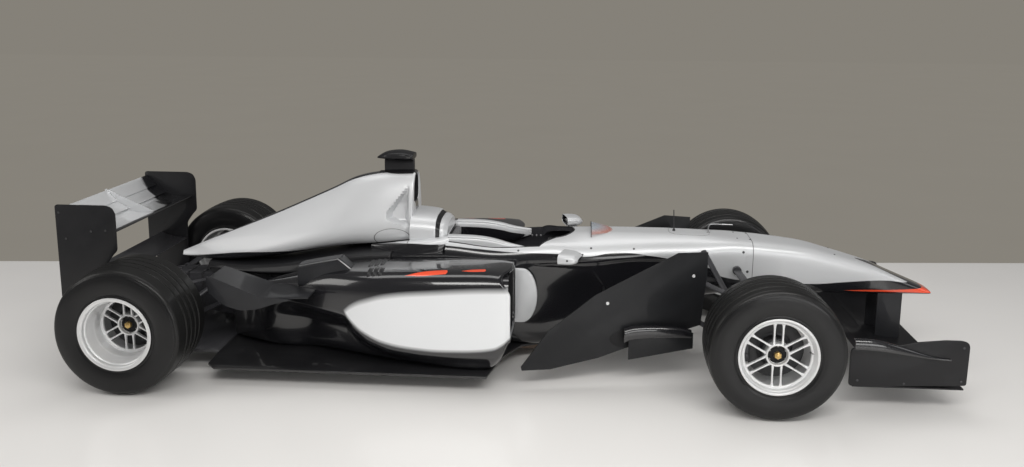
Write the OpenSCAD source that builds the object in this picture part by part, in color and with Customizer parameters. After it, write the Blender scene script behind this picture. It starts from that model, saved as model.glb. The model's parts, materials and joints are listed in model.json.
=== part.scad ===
// Open wheel racing car, built as separate pieces with turning wheels and steered front wheels.
// Millimetres. +X points forwards, +Y to the driver's left, +Z up.
// The origin is on the ground, under the middle of the whole car.

/* [Overall] */
// Distance between the front and the rear axle
wheelbase = 3200; // [3000:10:3840]
// How far the nose tip stands ahead of the front axle
nose_overhang = 980; // [940:5:1200]
// How far the rear wing's end plates stand behind the rear axle
rear_overhang = 490; // [440:5:600]
// Width over the wheels
overall_w = 1800; // [1740:10:2160]
// Height of the flat floor's lowest plank above the ground
ride_z = 40; // [30:1:60]

/* [Wheels] */
// Outer radius of every tyre
tyre_r = 325; // [300:1:340]
// Width of a front tyre
front_tyre_w = 300; // [260:1:330]
// Width of a rear tyre
rear_tyre_w = 365; // [310:1:400]
// Radius of the rim's outer lip
lip_r = 188; // [175:1:200]
// Thickness of the rim's barrel
barrel_t = 6; // [4:0.5:8]
// Depth of the front wheel's spokes behind its lip
front_dish = 34; // [20:1:60]
// Depth of the rear wheel's spokes behind its lip
rear_dish = 150; // [60:1:160]
// Pairs of spokes in each wheel
spoke_pairs = 6; // [4:1:8]
// Radius of the front spindle
spindle_r = 25; // [18:1:30]
// Radius of a rear drive shaft
shaft_r = 18; // [12:1:24]
// Radial running clearance of every shaft in its bore
run_gap = 0.05; // [0.02:0.01:0.1]

/* [Tub and nose] */
// Widest half width of the tub beside the driver
tub_half = 268; // [230:1:322]
// Half width of the body at the nose joint
bulkhead_half = 165; // [140:1:200]
// Height of the tub's top ahead of the cockpit
scuttle_z = 700; // [640:1:740]
// Height of the cockpit's rim beside the driver
rim_z = 655; // [615:1:690]
// Height of the deck behind the driver, on which the engine cover sits
deck_z = 600; // [560:1:610]
// Thickness of the tub's wall
tub_wall = 28; // [15:1:35]
// Half width of the cockpit opening
cockpit_half = 218; // [180:1:225]
// Half width of the nose tip
tip_half = 80; // [60:1:110]

/* [Engine cover and sidepods] */
// Height of the airbox above the ground
airbox_z = 1011; // [900:1:1060]
// Half width of the airbox
airbox_half = 105; // [80:1:130]
// How far out each sidepod reaches
pod_out = 688; // [600:1:720]
// Height of the sidepod's top at its shoulder
pod_z = 600; // [540:1:620]
// Half width of the floor
floor_half = 700; // [600:1:720]
// Thickness of the floor
floor_t = 12; // [6:1:20]
// Height of the step between the plank and the floor
floor_step = 42; // [30:1:60]

/* [Wings] */
// Half width of the front wing over its end plates
front_wing_half = 705; // [600:1:720]
// Height of the front wing's end plates at the top
front_plate_z = 365; // [320:1:400]
// Half width of the rear wing over its end plates
rear_wing_half = 505; // [420:1:510]
// Height of the rear wing's end plates at the top
rear_plate_z = 883; // [820:1:960]
// Thickness of every end plate
plate_t = 10; // [6:1:16]
// Thickness of the barge boards and flick-ups
board_t = 8; // [4:1:12]

/* [Suspension] */
// Distance of the steering pivots from the car's middle
kingpin_y = 640; // [620:1:690]
// Half the height between the upper and lower pivots
pivot_rise = 108; // [85:1:120]
// Width of a wishbone blade
blade_w = 46; // [30:1:60]
// Thickness of a wishbone blade
blade_t = 16; // [10:1:22]

/* [Hidden] */
$fn = 64;

seat_gap = 0.3;                      // gap left between pieces that seat on curved faces
drawn_wheelbase = 3200;              // the stations below are written for this wheelbase
fixed_front = -600;                  // ahead of this station nothing stretches with the wheelbase
fixed_rear = -2600;                  // behind this station nothing stretches either
front_x = (wheelbase + rear_overhang - nose_overhang) / 2;   // front axle
rear_x = front_x - wheelbase;                                // rear axle
half_w = overall_w / 2;
step_z = ride_z + floor_step;        // underside of the floor
floor_z = step_z + floor_t;          // top of the floor
barrel_r = lip_r - 17;               // outside of the rim's barrel between its beads
bore_r = barrel_r - barrel_t;        // inside of the barrel
cockpit_front = -965;                // front end of the cockpit opening
cockpit_rear = -1655;                // rear end of the cockpit opening
cockpit_back = -1630;                // front of the wall behind the seat
joint_x = -40;                       // where the nose cone meets the tub
tub_rear = -1950;                    // rear bulkhead of the tub
airbox_x = -1862;                    // mouth of the airbox
engine_rear = -2600;                 // rear face of the engine
ring_n = 28;                         // points round a lofted section
nose_tip = nose_overhang;            // station of the nose's tip
nose_low = 392;                      // underside of the nose

// Place along the car of a station, written as millimetres ahead of the front axle.
function sx(s) =
    s >= fixed_front ? front_x + s :
    s <= fixed_rear ? rear_x + s + drawn_wheelbase :
    front_x + fixed_front + (s - fixed_front)
        * (fixed_front - fixed_rear + wheelbase - drawn_wheelbase) / (fixed_front - fixed_rear);

function lerp(a, b, t) = a + (b - a) * t;
function bend(v, p) = sign(v) * pow(abs(v), p);

// A smooth curve through four neighbouring stations.
function smooth(a, b, c, d, t) =
    0.5 * (2 * b + (c - a) * t + (2 * a - 5 * b + 4 * c - d) * t * t
        + (3 * b - a - 3 * c + d) * t * t * t);

// Stations with n - 1 smooth ones added between each two.
function dense(s, n) = [
    for (i = [0 : len(s) - 2], k = [0 : n - 1])
        smooth(s[max(i - 1, 0)], s[i], s[i + 1], s[min(i + 2, len(s) - 1)], k / n),
    s[len(s) - 1]
];

// A section is [station, half width low, half width high, z low, z high, squareness, y centre].
function ring(s, g) = [
    for (i = [0 : ring_n - 1])
        let (
            a = 360 * (i + 0.5) / ring_n,
            u = bend(cos(a), 2 / s[5]),
            v = bend(sin(a), 2 / s[5]),
            w = lerp(s[1], s[2], (v + 1) / 2) + g
        )
        [sx(s[0]), s[6] + u * w, (s[3] + s[4]) / 2 + v * ((s[4] - s[3]) / 2 + g)]
];

// A body drawn through sections, g larger all round than they say.
module loft(stations, n = 2, g = 0) {
    s = dense(stations, n);
    both_ends = [[for (i = [0 : ring_n - 1]) i], [for (i = [0 : ring_n - 1]) ring_n + i]];
    for (i = [0 : len(s) - 2])
        hull()
            polyhedron(concat(ring(s[i], g), ring(s[i + 1], g)), both_ends);
}

// Height of a lofted body's flat top (up = 1) or bottom (up = -1) at station x.
function level_of(s, up) =
    (s[3] + s[4]) / 2 + up * bend(cos(180 / ring_n), 2 / s[5]) * (s[4] - s[3]) / 2;
function level_at(stations, x, up) =
    let (
        d = dense(stations, 3),
        i = [for (k = [0 : len(d) - 2]) if (x <= d[k][0] && x >= d[k + 1][0]) k][0],
        t = (x - d[i][0]) / (d[i + 1][0] - d[i][0])
    )
    lerp(level_of(d[i], up), level_of(d[i + 1], up), t);

// Half width of a lofted body at station x and height z.
function side_of(s, z) =
    let (
        v = (z - (s[3] + s[4]) / 2) / ((s[4] - s[3]) / 2),
        w = lerp(s[1], s[2], (v + 1) / 2)
    )
    w * pow(1 - pow(abs(v), s[5]), 1 / s[5]);
function half_at(stations, x, z) =
    let (
        d = dense(stations, 3),
        i = [for (k = [0 : len(d) - 2]) if (x <= d[k][0] && x >= d[k + 1][0]) k][0],
        t = (x - d[i][0]) / (d[i + 1][0] - d[i][0])
    )
    lerp(side_of(d[i], z), side_of(d[i + 1], z), t);

// A box from station a to station b.
module block(a, b, y0, y1, z0, z1)
    translate([sx(b), y0, z0])
        cube([sx(a) - sx(b), y1 - y0, z1 - z0]);

module both_sides() {
    children();
    mirror([0, 1, 0]) children();
}

// A flat plate in the XZ plane, t thick, centred on y.
module plate(points, y, t)
    translate([0, y + t / 2, 0])
        rotate([90, 0, 0])
            linear_extrude(t)
                polygon(points);

// A slim blade of lens section from p to q, wide fore and aft.
module blade(p, q, w = blade_w, t = blade_t) {
    d = q - p;
    l = norm(d);
    translate(p)
        rotate([0, acos(d[2] / l), atan2(d[1], d[0])])
            linear_extrude(l)
                polygon([
                    for (i = [0 : 15])
                        [t / 2 * sin(22.5 * i), w / 2 * cos(22.5 * i)]
                ]);
}

// Points of a wing section: chord c, thickness t and camber m, nose at 0, tail at -c.
function wing_points(c, t, m, n = 9) = concat(
    [for (i = [0 : n]) let (u = i / n, x = u * u)
        [-c * x, m * 4 * x * (x - 1) + t * 1.6 * sqrt(x) * (1 - x)]],
    [for (i = [n - 1 : -1 : 1]) let (u = i / n, x = u * u)
        [-c * x, m * 4 * x * (x - 1) - t * 0.7 * sqrt(x) * (1 - x)]]
);

// A wing element spanning from y0 to y1, nose at [x, z], tilted tail up by the angle a.
module wing(x, z, y0, y1, c, t, m, a)
    translate([x, y1, z])
        rotate([90, 0, 0])
            linear_extrude(y1 - y0)
                rotate(-a)
                    polygon(wing_points(c, t, m));

// ---- Tub, nose and cockpit ----

tub_stations = [
    [joint_x, bulkhead_half - 15, bulkhead_half, nose_low, scuttle_z - 20, 5, 0],
    [-300, bulkhead_half, bulkhead_half + 25, 355, scuttle_z - 3, 5, 0],
    [-600, 190, bulkhead_half + 50, 270, scuttle_z, 5, 0],
    [-900, 225, 242, 150, scuttle_z - 4, 5, 0],
    [-1150, tub_half - 8, tub_half - 8, ride_z + 40, rim_z + 16, 6, 0],
    [-1400, tub_half, tub_half - 4, floor_z, rim_z, 6, 0],
    [-1660, tub_half + 4, tub_half - 2, floor_z, rim_z + 26, 6, 0],
    [tub_rear, tub_half + 8, tub_half, floor_z, rim_z + 26, 6, 0]
];

module tub_outside(g = 0)
    loft(tub_stations, 3, g);

inside_stations = [
    [-420, 130, 150, 390, scuttle_z - 40, 5, 0],
    [-700, 170, 190, 300, scuttle_z - 36, 5, 0],
    [-950, 205, 215, 190, scuttle_z - 34, 5, 0],
    [-1200, tub_half - tub_wall - 8, tub_half - tub_wall - 8, floor_z + 30, rim_z - 20, 6, 0],
    [-1450, tub_half - tub_wall, tub_half - tub_wall - 4, floor_z + 30, rim_z - 24, 6, 0],
    [cockpit_back, tub_half - tub_wall, tub_half - tub_wall, floor_z + 30, rim_z - 12, 6, 0]
];
module tub_inside()
    loft(inside_stations, 3);

// Plan outline of the cockpit opening, from its round front end to its square rear end.
module cockpit_plan(g = 0) {
    front_r = 130;
    translate([0, 0, rim_z - 90])
        linear_extrude(300)
            polygon(concat(
                [for (a = [-75 : 15 : 75])
                    [sx(cockpit_front) - front_r + (front_r + g) * cos(a), (front_r + g) * sin(a)]],
                [for (s = [1, -1], p = s > 0 ? [0, 1] : [1, 0])
                    [sx(p == 0 ? -1150 : cockpit_rear), s * (cockpit_half + g)]]
            ));
}

module keels()
    both_sides()
        plate([
            [sx(joint_x) - 10, 440], [sx(joint_x) - 10, 268], [sx(-120), 262],
            [sx(-500), 240], [sx(-560), 320], [sx(-400), 440]
        ], keel_y, keel_t);
keel_y = 105;
keel_t = 22;

module monocoque()
    color("silver")
        difference() {
            union() {
                tub_outside();
                keels();
            }
            tub_inside();
            cockpit_plan();
            block(cockpit_rear - 3, tub_rear - 50, -400, 400, deck_z, 900);
            block(-1000, tub_rear - 50, -400, 400, 0, floor_z);
        }

nose_stations = [
    [nose_tip, tip_half - 25, tip_half - 28, nose_low + 2, nose_low + 12, 2.6, 0],
    [nose_tip - 30, tip_half, tip_half - 5, nose_low, 424, 3, 0],
    [nose_tip - 208, tip_half + 26, tip_half + 22, nose_low, 498, 4, 0],
    [nose_tip - 340, tip_half + 36, tip_half + 36, nose_low, 551, 4.4, 0],
    [nose_tip - 560, tip_half + 50, tip_half + 56, nose_low, 614, 4.8, 0],
    [nose_tip - 700, tip_half + 58, tip_half + 68, nose_low, 648, 5, 0],
    [nose_tip - 900, tip_half + 66, tip_half + 80, nose_low, scuttle_z - 29, 5, 0],
    [joint_x, bulkhead_half - 15, bulkhead_half, nose_low, scuttle_z - 20, 5, 0]
];
module nose_cone()
    color("silver")
        loft(nose_stations, 3);

// Raised collar round the driver's shoulders, one piece on each side.
module cockpit_collar()
    color("silver")
        both_sides()
            difference() {
                loft([
                    [-1215, 10, 8, rim_z - 50, rim_z - 18, 4, cockpit_half - 7],
                    [-1310, 22, 20, rim_z - 76, rim_z - 2, 4, cockpit_half - 19],
                    [-1400, 28, 26, rim_z - 88, rim_z + 20, 4, cockpit_half - 25],
                    [-1500, 31, 29, rim_z - 94, rim_z + 32, 4, cockpit_half - 28],
                    [-1648, 34, 32, rim_z - 98, rim_z + 34, 4, cockpit_half - 31]
                ], 3);
                block(-1100, -1700, cockpit_half - seat_gap, 400, 0, 900);
                block(cockpit_back + seat_gap, -1700, 0, 400, 0, rim_z - 90 + seat_gap);
            }

module headrest_fairing()
    color("silver") {
        loft([
            [cockpit_rear - 3, 172, 150, deck_z, 738, 3, 0],
            [-1686, 190, 165, deck_z, 757, 3, 0],
            [-1722, 190, 165, deck_z, 757, 3, 0]
        ], 2);
        loft([
            [-1722, 196, 172, deck_z, 776, 3, 0],
            [-1730, 200, 176, deck_z, 782, 3, 0],
            [-1800, 206, 180, deck_z, 792, 3, 0],
            [airbox_x, 210, 182, deck_z, 796, 3, 0]
        ], 2);
    }

module windscreen()
    color("lightcyan", 0.4)
        difference() {
            loft(screen_stations, 3);
            loft(screen_stations, 3, -3);
            tub_outside(seat_gap);
            block(-870, -1100, -300, 300, 500, 900);
        }
screen_stations = [
    [-770, 20, 14, 600, 702, 2.4, 0],
    [-830, 70, 50, 600, 722, 2.4, 0],
    [-874, 96, 70, 600, 742, 2.4, 0]
];

// Seat shell: a reclined back and a base between two side walls.
seat_half = 150;
seat_t = 12;
module seat() {
    back = [sx(-1620), 546];
    hip = [sx(-1380), floor_z + 55];
    knee = [sx(-1080), 250];
    color("dimgray") {
        plate([
            back, [back[0] + seat_t, back[1]], [hip[0] + seat_t, hip[1] + 20],
            [hip[0] + 60, hip[1] + seat_t], [knee[0], knee[1]], [knee[0], knee[1] - seat_t],
            [hip[0] + 60, hip[1]], [hip[0] - 10, hip[1]]
        ], 0, 2 * seat_half);
        both_sides()
            plate([
                [back[0], back[1]], [back[0] + 70, back[1] - 60], [hip[0] + 120, hip[1] + 130],
                [knee[0], knee[1] + 40], [knee[0], knee[1] - seat_t],
                [hip[0] + 60, hip[1]], [hip[0] - 10, hip[1]]
            ], seat_half + seat_t / 2, seat_t);
        both_sides()
            block(-1330, -1390, 40, 70, level_at(inside_stations, -1390, -1) + seat_gap, floor_z + 60);
    }
}

// The steering wheel turns on a column that slopes down towards the front.
column_tilt = 14;
wheel_centre = [-1110, 0, 560];
column_l = 355;
column_r = 14;
dash_x = -835;
module on_column()
    translate([sx(wheel_centre[0]), 0, wheel_centre[2]])
        rotate([0, 90 + column_tilt, 0])
            children();

module steering_column()
    color("gray") {
        on_column()
            translate([0, 0, 16])
                cylinder(r = column_r, h = column_l);
        // The dash bulkhead hangs from the tub's roof and holds the column.
        roof = level_at(inside_stations, dash_x, 1) - seat_gap;
        translate([sx(dash_x) - 8, 0, 0])
            rotate([90, 0, 90])
                linear_extrude(16)
                    polygon([
                        [-70, roof], [70, roof], [150, roof - 40], [150, 440], [90, 440], [70, 480],
                        [-70, 480], [-90, 440], [-150, 440], [-150, roof - 40]
                    ]);
    }

grip_y = 118;
module steering_wheel()
    color("black")
        on_column()
            difference() {
                union() {
                    translate([-60, -grip_y, -14])
                        cube([120, 2 * grip_y, 26]);
                    both_sides()
                        hull()
                            for (s = [-1, 1])
                                translate([s * 48, grip_y, 0])
                                    sphere(r = 17, $fn = 24);
                    translate([0, 0, -4])
                        cylinder(r = 34, h = 30);
                }
                translate([0, 0, 15])
                    cylinder(r = column_r + run_gap, h = 40);
            }

module mirrors()
    color("silver")
        both_sides() {
            difference() {
                loft([
                    [-925, 60, 60, 640, 655, 2.6, 430],
                    [-950, 86, 82, 618, 676, 3, 430],
                    [-1000, 92, 88, 612, 684, 3.6, 430],
                    [-1060, 94, 90, 610, 686, 3.8, 430]
                ], 2);
                loft([
                    [-1035, 84, 80, 619, 677, 3.8, 430],
                    [-1070, 86, 82, 618, 678, 3.8, 430]
                ], 1);
            }
            difference() {
                hull() {
                    translate([sx(-985), 350, 640])
                        cube([50, 1, 10], center = true);
                    translate([sx(-940), 215, 604])
                        cube([70, 1, 14], center = true);
                }
                tub_outside(seat_gap);
            }
        }

// ---- Engine cover, sidepods and floor ----

cover_stations = [
    [airbox_x, 176, airbox_half - 4, deck_z, airbox_z, 3.4, 0],
    [-2030, 214, airbox_half - 18, deck_z, airbox_z - 4, 3.2, 0],
    [-2190, 232, 64, deck_z - 4, airbox_z - 36, 3, 0],
    [-2350, 232, 46, deck_z - 22, airbox_z - 112, 3, 0],
    [-2685, 180, 28, 512, 748, 3, 0],
    [-3000, 96, 18, 476, 614, 3, 0],
    [-3232, 20, 8, 486, 514, 3, 0]
];
// Low deck that joins the cover's sides to the sidepods.
deck_stations = [
    [tub_rear - seat_gap, 300, 290, deck_z - 60, deck_z + 10, 5, 0],
    [-2150, 300, 280, deck_z - 80, deck_z - 4, 5, 0],
    [-2350, 280, 250, 480, deck_z - 40, 5, 0],
    [-2600, 235, 200, 446, 510, 5, 0],
    [-2850, 180, 150, 442, 482, 5, 0],
    [-3050, 110, 80, 442, 478, 5, 0]
];
airbox_mouth = [
    [airbox_x + 5, 86, 76, 842, airbox_z - 12, 3, 0],
    [-2000, 78, 66, 838, airbox_z - 20, 3, 0],
    [-2120, 60, 46, 838, airbox_z - 34, 3, 0]
];

module engine_cover()
    color("silver")
        difference() {
            union() {
                loft(cover_stations, 3);
                loft(deck_stations, 2);
            }
            loft(airbox_mouth, 2);
            loft([
                [airbox_x - 30, 150, 90, deck_z - 40, 815, 3, 0],
                [-2150, 200, 60, deck_z - 60, 815, 3, 0],
                [-2400, 200, 34, 540, 800, 3, 0],
                [-2685, 150, 18, 470, 690, 3, 0],
                [-3000, 70, 12, 440, 570, 3, 0],
                [-3120, 40, 8, 440, 520, 3, 0]
            ], 2);
            block(tub_rear + 200, -3300, -400, 400, 0, 430);
            sidepod_outside(seat_gap);
            mirror([0, 1, 0]) sidepod_outside(seat_gap);
            gearbox_envelope();
        }

// Clearance shape over the gearbox, so that the cover's tail rests on it.
module gearbox_envelope()
    block(engine_rear, -3400, -110, 110, 0, 440);

module camera_pod()
    color("black") {
        difference() {
            loft([
                [airbox_x - 3, 20, 16, airbox_z - 3, 1078, 3, 0],
                [-1930, 24, 20, airbox_z - 3, 1078, 3, 0],
                [-2034, 10, 8, airbox_z - 3, 1078, 3, 0]
            ], 4);
            loft(cover_stations, 3, seat_gap);
        }
        loft([
            [airbox_x - 2, 66, 58, 1079, 1112, 3, 0],
            [-1940, 74, 66, 1078.5, 1126, 3, 0],
            [-2020, 60, 50, 1078.5, 1118, 3, 0],
            [-2072, 20, 16, 1080, 1090, 3, 0]
        ], 3);
    }

sidepod_stations = [
    [-1280, 188, 186, 240, pod_z + 6, 5, pod_out - 196],
    [-1385, 210, 200, floor_z, pod_z + 12, 5, pod_out - 206],
    [-1700, 216, 205, floor_z, pod_z + 6, 5, pod_out - 216],
    [-2000, 206, 190, floor_z, pod_z - 12, 5, pod_out - 238],
    [-2250, 176, 150, floor_z, pod_z - 45, 4.6, pod_out - 290],
    [-2500, 128, 100, floor_z, pod_z - 120, 4.2, pod_out - 366],
    [-2750, 70, 50, floor_z, 400, 4, pod_out - 448],
    [-2850, 30, 24, floor_z, 320, 4, pod_out - 480]
];

module sidepod_outside(g = 0)
    loft(sidepod_stations, 3, g);

module sidepod_duct()
    loft([
        [-1275, 158, 158, 262, pod_z - 16, 5, pod_out - 196],
        [-1420, 156, 150, 180, pod_z - 14, 5, pod_out - 206],
        [-1640, 150, 140, 130, pod_z - 20, 5, pod_out - 216]
    ], 3);

module sidepod()
    color("black")
        difference() {
            sidepod_outside();
            sidepod_duct();
            tub_outside(seat_gap);
            block(tub_rear, engine_rear - 300, -engine_half - seat_gap, engine_half + seat_gap, 0, 900);
            block(-1000, -3000, -400, 1000, 0, floor_z);
        }
module sidepod_left() sidepod();
module sidepod_right() mirror([0, 1, 0]) sidepod();

// Cooling chimneys, open towards the rear.
module chimneys()
    color("black")
        both_sides()
            difference() {
                loft([
                    [-2020, 30, 22, 505, 560, 3.4, 470],
                    [-2120, 58, 50, 490, 622, 3.6, 455],
                    [-2230, 66, 56, 480, 630, 3.6, 440],
                    [-2340, 68, 58, 470, 606, 3.6, 425],
                    [-2400, 66, 56, 466, 580, 3.6, 415]
                ], 2);
                loft([
                    [-2180, 50, 40, 560, 610, 3.6, 446],
                    [-2340, 58, 48, 500, 594, 3.6, 425],
                    [-2420, 58, 48, 476, 570, 3.6, 412]
                ], 2);
                sidepod_outside(seat_gap);
            }

// Flick-ups that lift the air over the rear wheels.
module flick_ups()
    color("dimgray")
        both_sides() {
            difference() {
                hull() {
                    ramp_edge(-2300, 425, 462);
                    ramp_edge(-2560, 395, 452);
                }
                sidepod_outside(seat_gap);
            }
            difference() {
                hull() {
                    ramp_edge(-2559, 395, 452);
                    ramp_edge(-2820, 415, 545);
                }
                sidepod_outside(seat_gap);
            }
            plate([
                [sx(-2380), 450], [sx(-2650), 388], [sx(-2815), 478], [sx(-2822), 562], [sx(-2560), 462]
            ], flick_out + board_t / 2, board_t);
        }
flick_out = 652;
module ramp_edge(x, y0, z)
    translate([sx(x), y0, z - board_t / 2])
        cube([1, flick_out - y0 + 1, board_t]);

plank_half = 150;
module floor()
    color("black") {
        // The stepped flat floor from the front corners to the rear wheels.
        translate([0, 0, step_z])
            linear_extrude(floor_t)
                polygon(concat(floor_edge(1), [for (i = [6 : -1 : 0]) floor_edge(-1)[i]]));
        // The plank under the middle, from below the driver's legs to the gearbox.
        translate([0, 0, ride_z])
            linear_extrude(floor_step)
                polygon([
                    [sx(-900), 60], [sx(-960), plank_half], [sx(-2850), plank_half],
                    [sx(-2850), -plank_half], [sx(-960), -plank_half], [sx(-900), -60]
                ]);
    }
function floor_edge(s) = [
    [sx(-1060), s * 150], [sx(-1240), s * 240], [sx(-1330), s * 420], [sx(-1385), s * floor_half],
    [sx(-2790), s * floor_half], [sx(-2840), s * (floor_half - 50)], [sx(-2850), s * 480]
];

module diffuser()
    color("black") {
        hull() {
            translate([sx(-2851), 0, step_z + floor_t / 2])
                cube([1, 960, floor_t], center = true);
            translate([sx(-3000), 0, step_z + floor_t / 2 + 6])
                cube([1, 960, floor_t], center = true);
        }
        hull() {
            translate([sx(-3001), 0, step_z + floor_t / 2 + 6])
                cube([1, 960, floor_t], center = true);
            translate([sx(-3520), 0, 250])
                cube([1, 960, floor_t], center = true);
        }
        both_sides()
            for (y = [150, 474])
                plate([
                    [sx(-2860), step_z], [sx(-2860), step_z + 6], [sx(-3001), step_z + 8],
                    [sx(-3520), 245], [sx(-3520), 120], [sx(-3300), step_z]
                ], y, 8);
    }

engine_half = 236;
module engine_block()
    color("gray")
        translate([sx(engine_rear), 0, 0])
            rotate([90, 0, 90])
                linear_extrude(sx(tub_rear) - seat_gap - sx(engine_rear))
                    polygon([
                        [-150, floor_z], [150, floor_z], [150, 240], [engine_half, 360],
                        [150, 440], [-150, 440], [-engine_half, 360], [-150, 240]
                    ]);

module gearbox()
    color("dimgray") {
        hull() {
            block(engine_rear - seat_gap, engine_rear - 3, -box_half, box_half, 150, 420);
            block(-3298, -3300, -70, 70, 200, 400);
        }
        // Output flanges of the drive shafts.
        translate([rear_x, 0, tyre_r])
            rotate([90, 0, 0])
                cylinder(r = 46, h = 2 * flange_y, center = true);
        // Rear crash structure that ends in the rain light.
        hull() {
            block(-3298, -3301, -70, 70, 210, 390);
            block(-3600, -3602, -45, 45, 285, 350);
        }
    }
flange_y = 130;

// ---- Wings ----

main_nose = [900, 150];
main_chord = 270;
main_t = 16;
main_camber = 22;
main_tilt = 6;
module front_wing()
    color("black") {
        span = front_wing_half - plate_t - seat_gap;
        wing(sx(main_nose[0]), main_nose[1], -span, span, main_chord, main_t, main_camber, main_tilt);
        wing(sx(640), 172, -span, span, 130, 12, 12, 20);
        wing(sx(522), 216, -span, span, 110, 9, 9, 32);
    }

module front_wing_endplates()
    color("black")
        both_sides() {
            plate([
                [sx(931), 140], [sx(933), 335], [sx(925), 355], [sx(900), front_plate_z],
                [sx(820), front_plate_z], [sx(690), front_plate_z - 14], [sx(600), 330],
                [sx(400), 318], [sx(380), 300], [sx(380), 122], [sx(420), 118]
            ], front_wing_half - plate_t / 2, plate_t);
            block(925, 400, front_wing_half - 60, front_wing_half - plate_t, 112, 120);
        }

module front_wing_pylons()
    color("black")
        difference() {
            both_sides()
                plate(concat(
                    [for (i = [5 : 8]) pylon_foot(i)],
                    [[pylon_foot(8)[0], nose_low + 40], [pylon_foot(5)[0], nose_low + 40]]
                ), tip_half + 8, 14);
            loft(nose_stations, 3, seat_gap);
        }
// A point of the pylon's foot, just above the main plane's corner i.
function pylon_foot(i) =
    let (p = wing_points(main_chord, main_t, main_camber)[i])
    [
        sx(main_nose[0]) + p[0] * cos(main_tilt) + p[1] * sin(main_tilt),
        main_nose[1] - p[0] * sin(main_tilt) + p[1] * cos(main_tilt) + seat_gap
    ];

module rear_wing_endplates()
    color("black")
        both_sides()
            plate([
                [rear_x - rear_overhang, rear_plate_z], [rear_x - 215, rear_plate_z],
                [rear_x - 180, rear_plate_z - 12], [rear_x - 163, rear_plate_z - 45],
                [rear_x - 165, 640], [rear_x - 190, 615], [rear_x - 230, 560], [rear_x - 235, 262],
                [rear_x - 330, 262], [rear_x - 420, 300], [rear_x - rear_overhang, 372]
            ], rear_wing_half - plate_t / 2, plate_t);

module rear_wing()
    color("silver") {
        span = rear_wing_half - plate_t - seat_gap;
        wing(rear_x - 172, 738, -span, span, 190, 18, 20, 4);
        wing(rear_x - 345, 758, -span, span, 90, 11, 9, 30);
        wing(rear_x - 412, 800, -span, span, 86, 9, 7, 46);
    }

module rear_wing_lower()
    color("black") {
        span = rear_wing_half - plate_t - seat_gap;
        wing(rear_x - 240, 452, -span, span, 170, 16, 14, 14);
        // The post that carries the wing on the crash structure.
        plate([[rear_x - 290, 449], [rear_x - 290, 371], [rear_x - 360, 356], [rear_x - 360, 458]], 0, 14);
    }

// ---- Boards ahead of the sidepods ----

// A flat board whose face turns outwards towards the rear, drawn on XZ and hinged at x0.
module board(points, x0, y0, turn, t = board_t)
    translate([sx(x0), y0, 0])
        rotate([0, 0, turn])
            translate([-sx(x0), -y0, 0])
                plate(points, y0, t);

board_front = -275;
board_y0 = 400;
board_turn = 12;
board_top = 688;
vane_gap = 38;   // from the middle of the barge board to the middle of the vane outside it
// Where the barge board stands at station x.
function board_y(x) = board_y0 + (sx(board_front) - sx(x)) * tan(board_turn);

module barge_boards()
    color("dimgray")
        both_sides()
            difference() {
                union() {
                    stay(-800, 430, 150, board_y(-800));
                    stay(-360, 590, 150, board_y(-360));
                    board([
                        [sx(board_front), board_top], [sx(board_front), 580], [sx(-300), 300],
                        [sx(-700), 190], [sx(-840), 145], [sx(-1080), floor_z + 2],
                        [sx(-1230), 30 + ride_z], [sx(-1240), 112], [sx(-1100), 300],
                        [sx(-860), 480], [sx(-430), board_top]
                    ], board_front, board_y0, -board_turn);
                }
                block(-900, -1500, 0, 1000, 0, floor_z + seat_gap);
                tub_outside(seat_gap);
            }

// A round stay across the car from y0 to y1.
module stay(x, z, y0, y1, r = 7)
    translate([sx(x), y1, z])
        rotate([90, 0, 0])
            cylinder(r = r, h = y1 - y0);

module turning_vanes()
    color("black")
        both_sides()
            translate([sx(board_front), board_y0, 0])
                rotate([0, 0, -board_turn]) {
                    translate([-sx(board_front), 0, 0])
                        plate([
                            [sx(-350), 272], [sx(-350), 188], [sx(-690), 142], [sx(-690), 288],
                            [sx(-660), 300], [sx(-540), 302]
                        ], vane_gap, board_t);
                    for (x = [-430, -620])
                        translate([sx(x) - sx(board_front), board_t / 2 + seat_gap, 235])
                            rotate([-90, 0, 0])
                                cylinder(r = 7, h = vane_gap - board_t / 2 - seat_gap);
                }

// ---- Suspension, uprights and wheels ----

pin_r = 7;
pad_r = 20;
pad_h = 20;
lug_h = 16;
push_z = 640;

// A wishbone: a bored pad over its pivot, and a blade to each foot on the body.
module wishbone(axle, axis_y, up, feet) {
    z = tyre_r + up * pivot_rise;
    pad_low = up > 0 ? z + seat_gap : z - pad_h - seat_gap;
    difference() {
        union() {
            translate([axle, axis_y, pad_low])
                cylinder(r = pad_r, h = pad_h);
            for (f = feet) {
                blade([axle, axis_y - 14, pad_low + pad_h / 2], f + [0, foot_l - 5, 0]);
                translate(f + [0, foot_l, 0])
                    rotate([90, 0, 0])
                        cylinder(r = blade_w / 2, h = foot_l);
            }
        }
        translate([axle, axis_y, pad_low - 1])
            cylinder(r = pin_r + run_gap, h = pad_h + 2);
    }
}
foot_l = 26;

module front_suspension()
    color("black") {
        wishbone(front_x, kingpin_y, 1, [
            for (s = [-85, -400])
                [sx(s), half_at(tub_stations, s - blade_w / 2, 530) + seat_gap, 530]
        ]);
        wishbone(front_x, kingpin_y, -1, [
            for (s = [-90, -400])
                [sx(s), keel_y + keel_t / 2 + seat_gap, 290]
        ]);
        blade([sx(-24), kingpin_y - 50, tyre_r - pivot_rise - 2],
            [sx(-270), half_at(tub_stations, -285, push_z) + 14, push_z], 34, 18);
    }
module front_suspension_left() front_suspension();
module front_suspension_right() mirror([0, 1, 0]) front_suspension();

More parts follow.
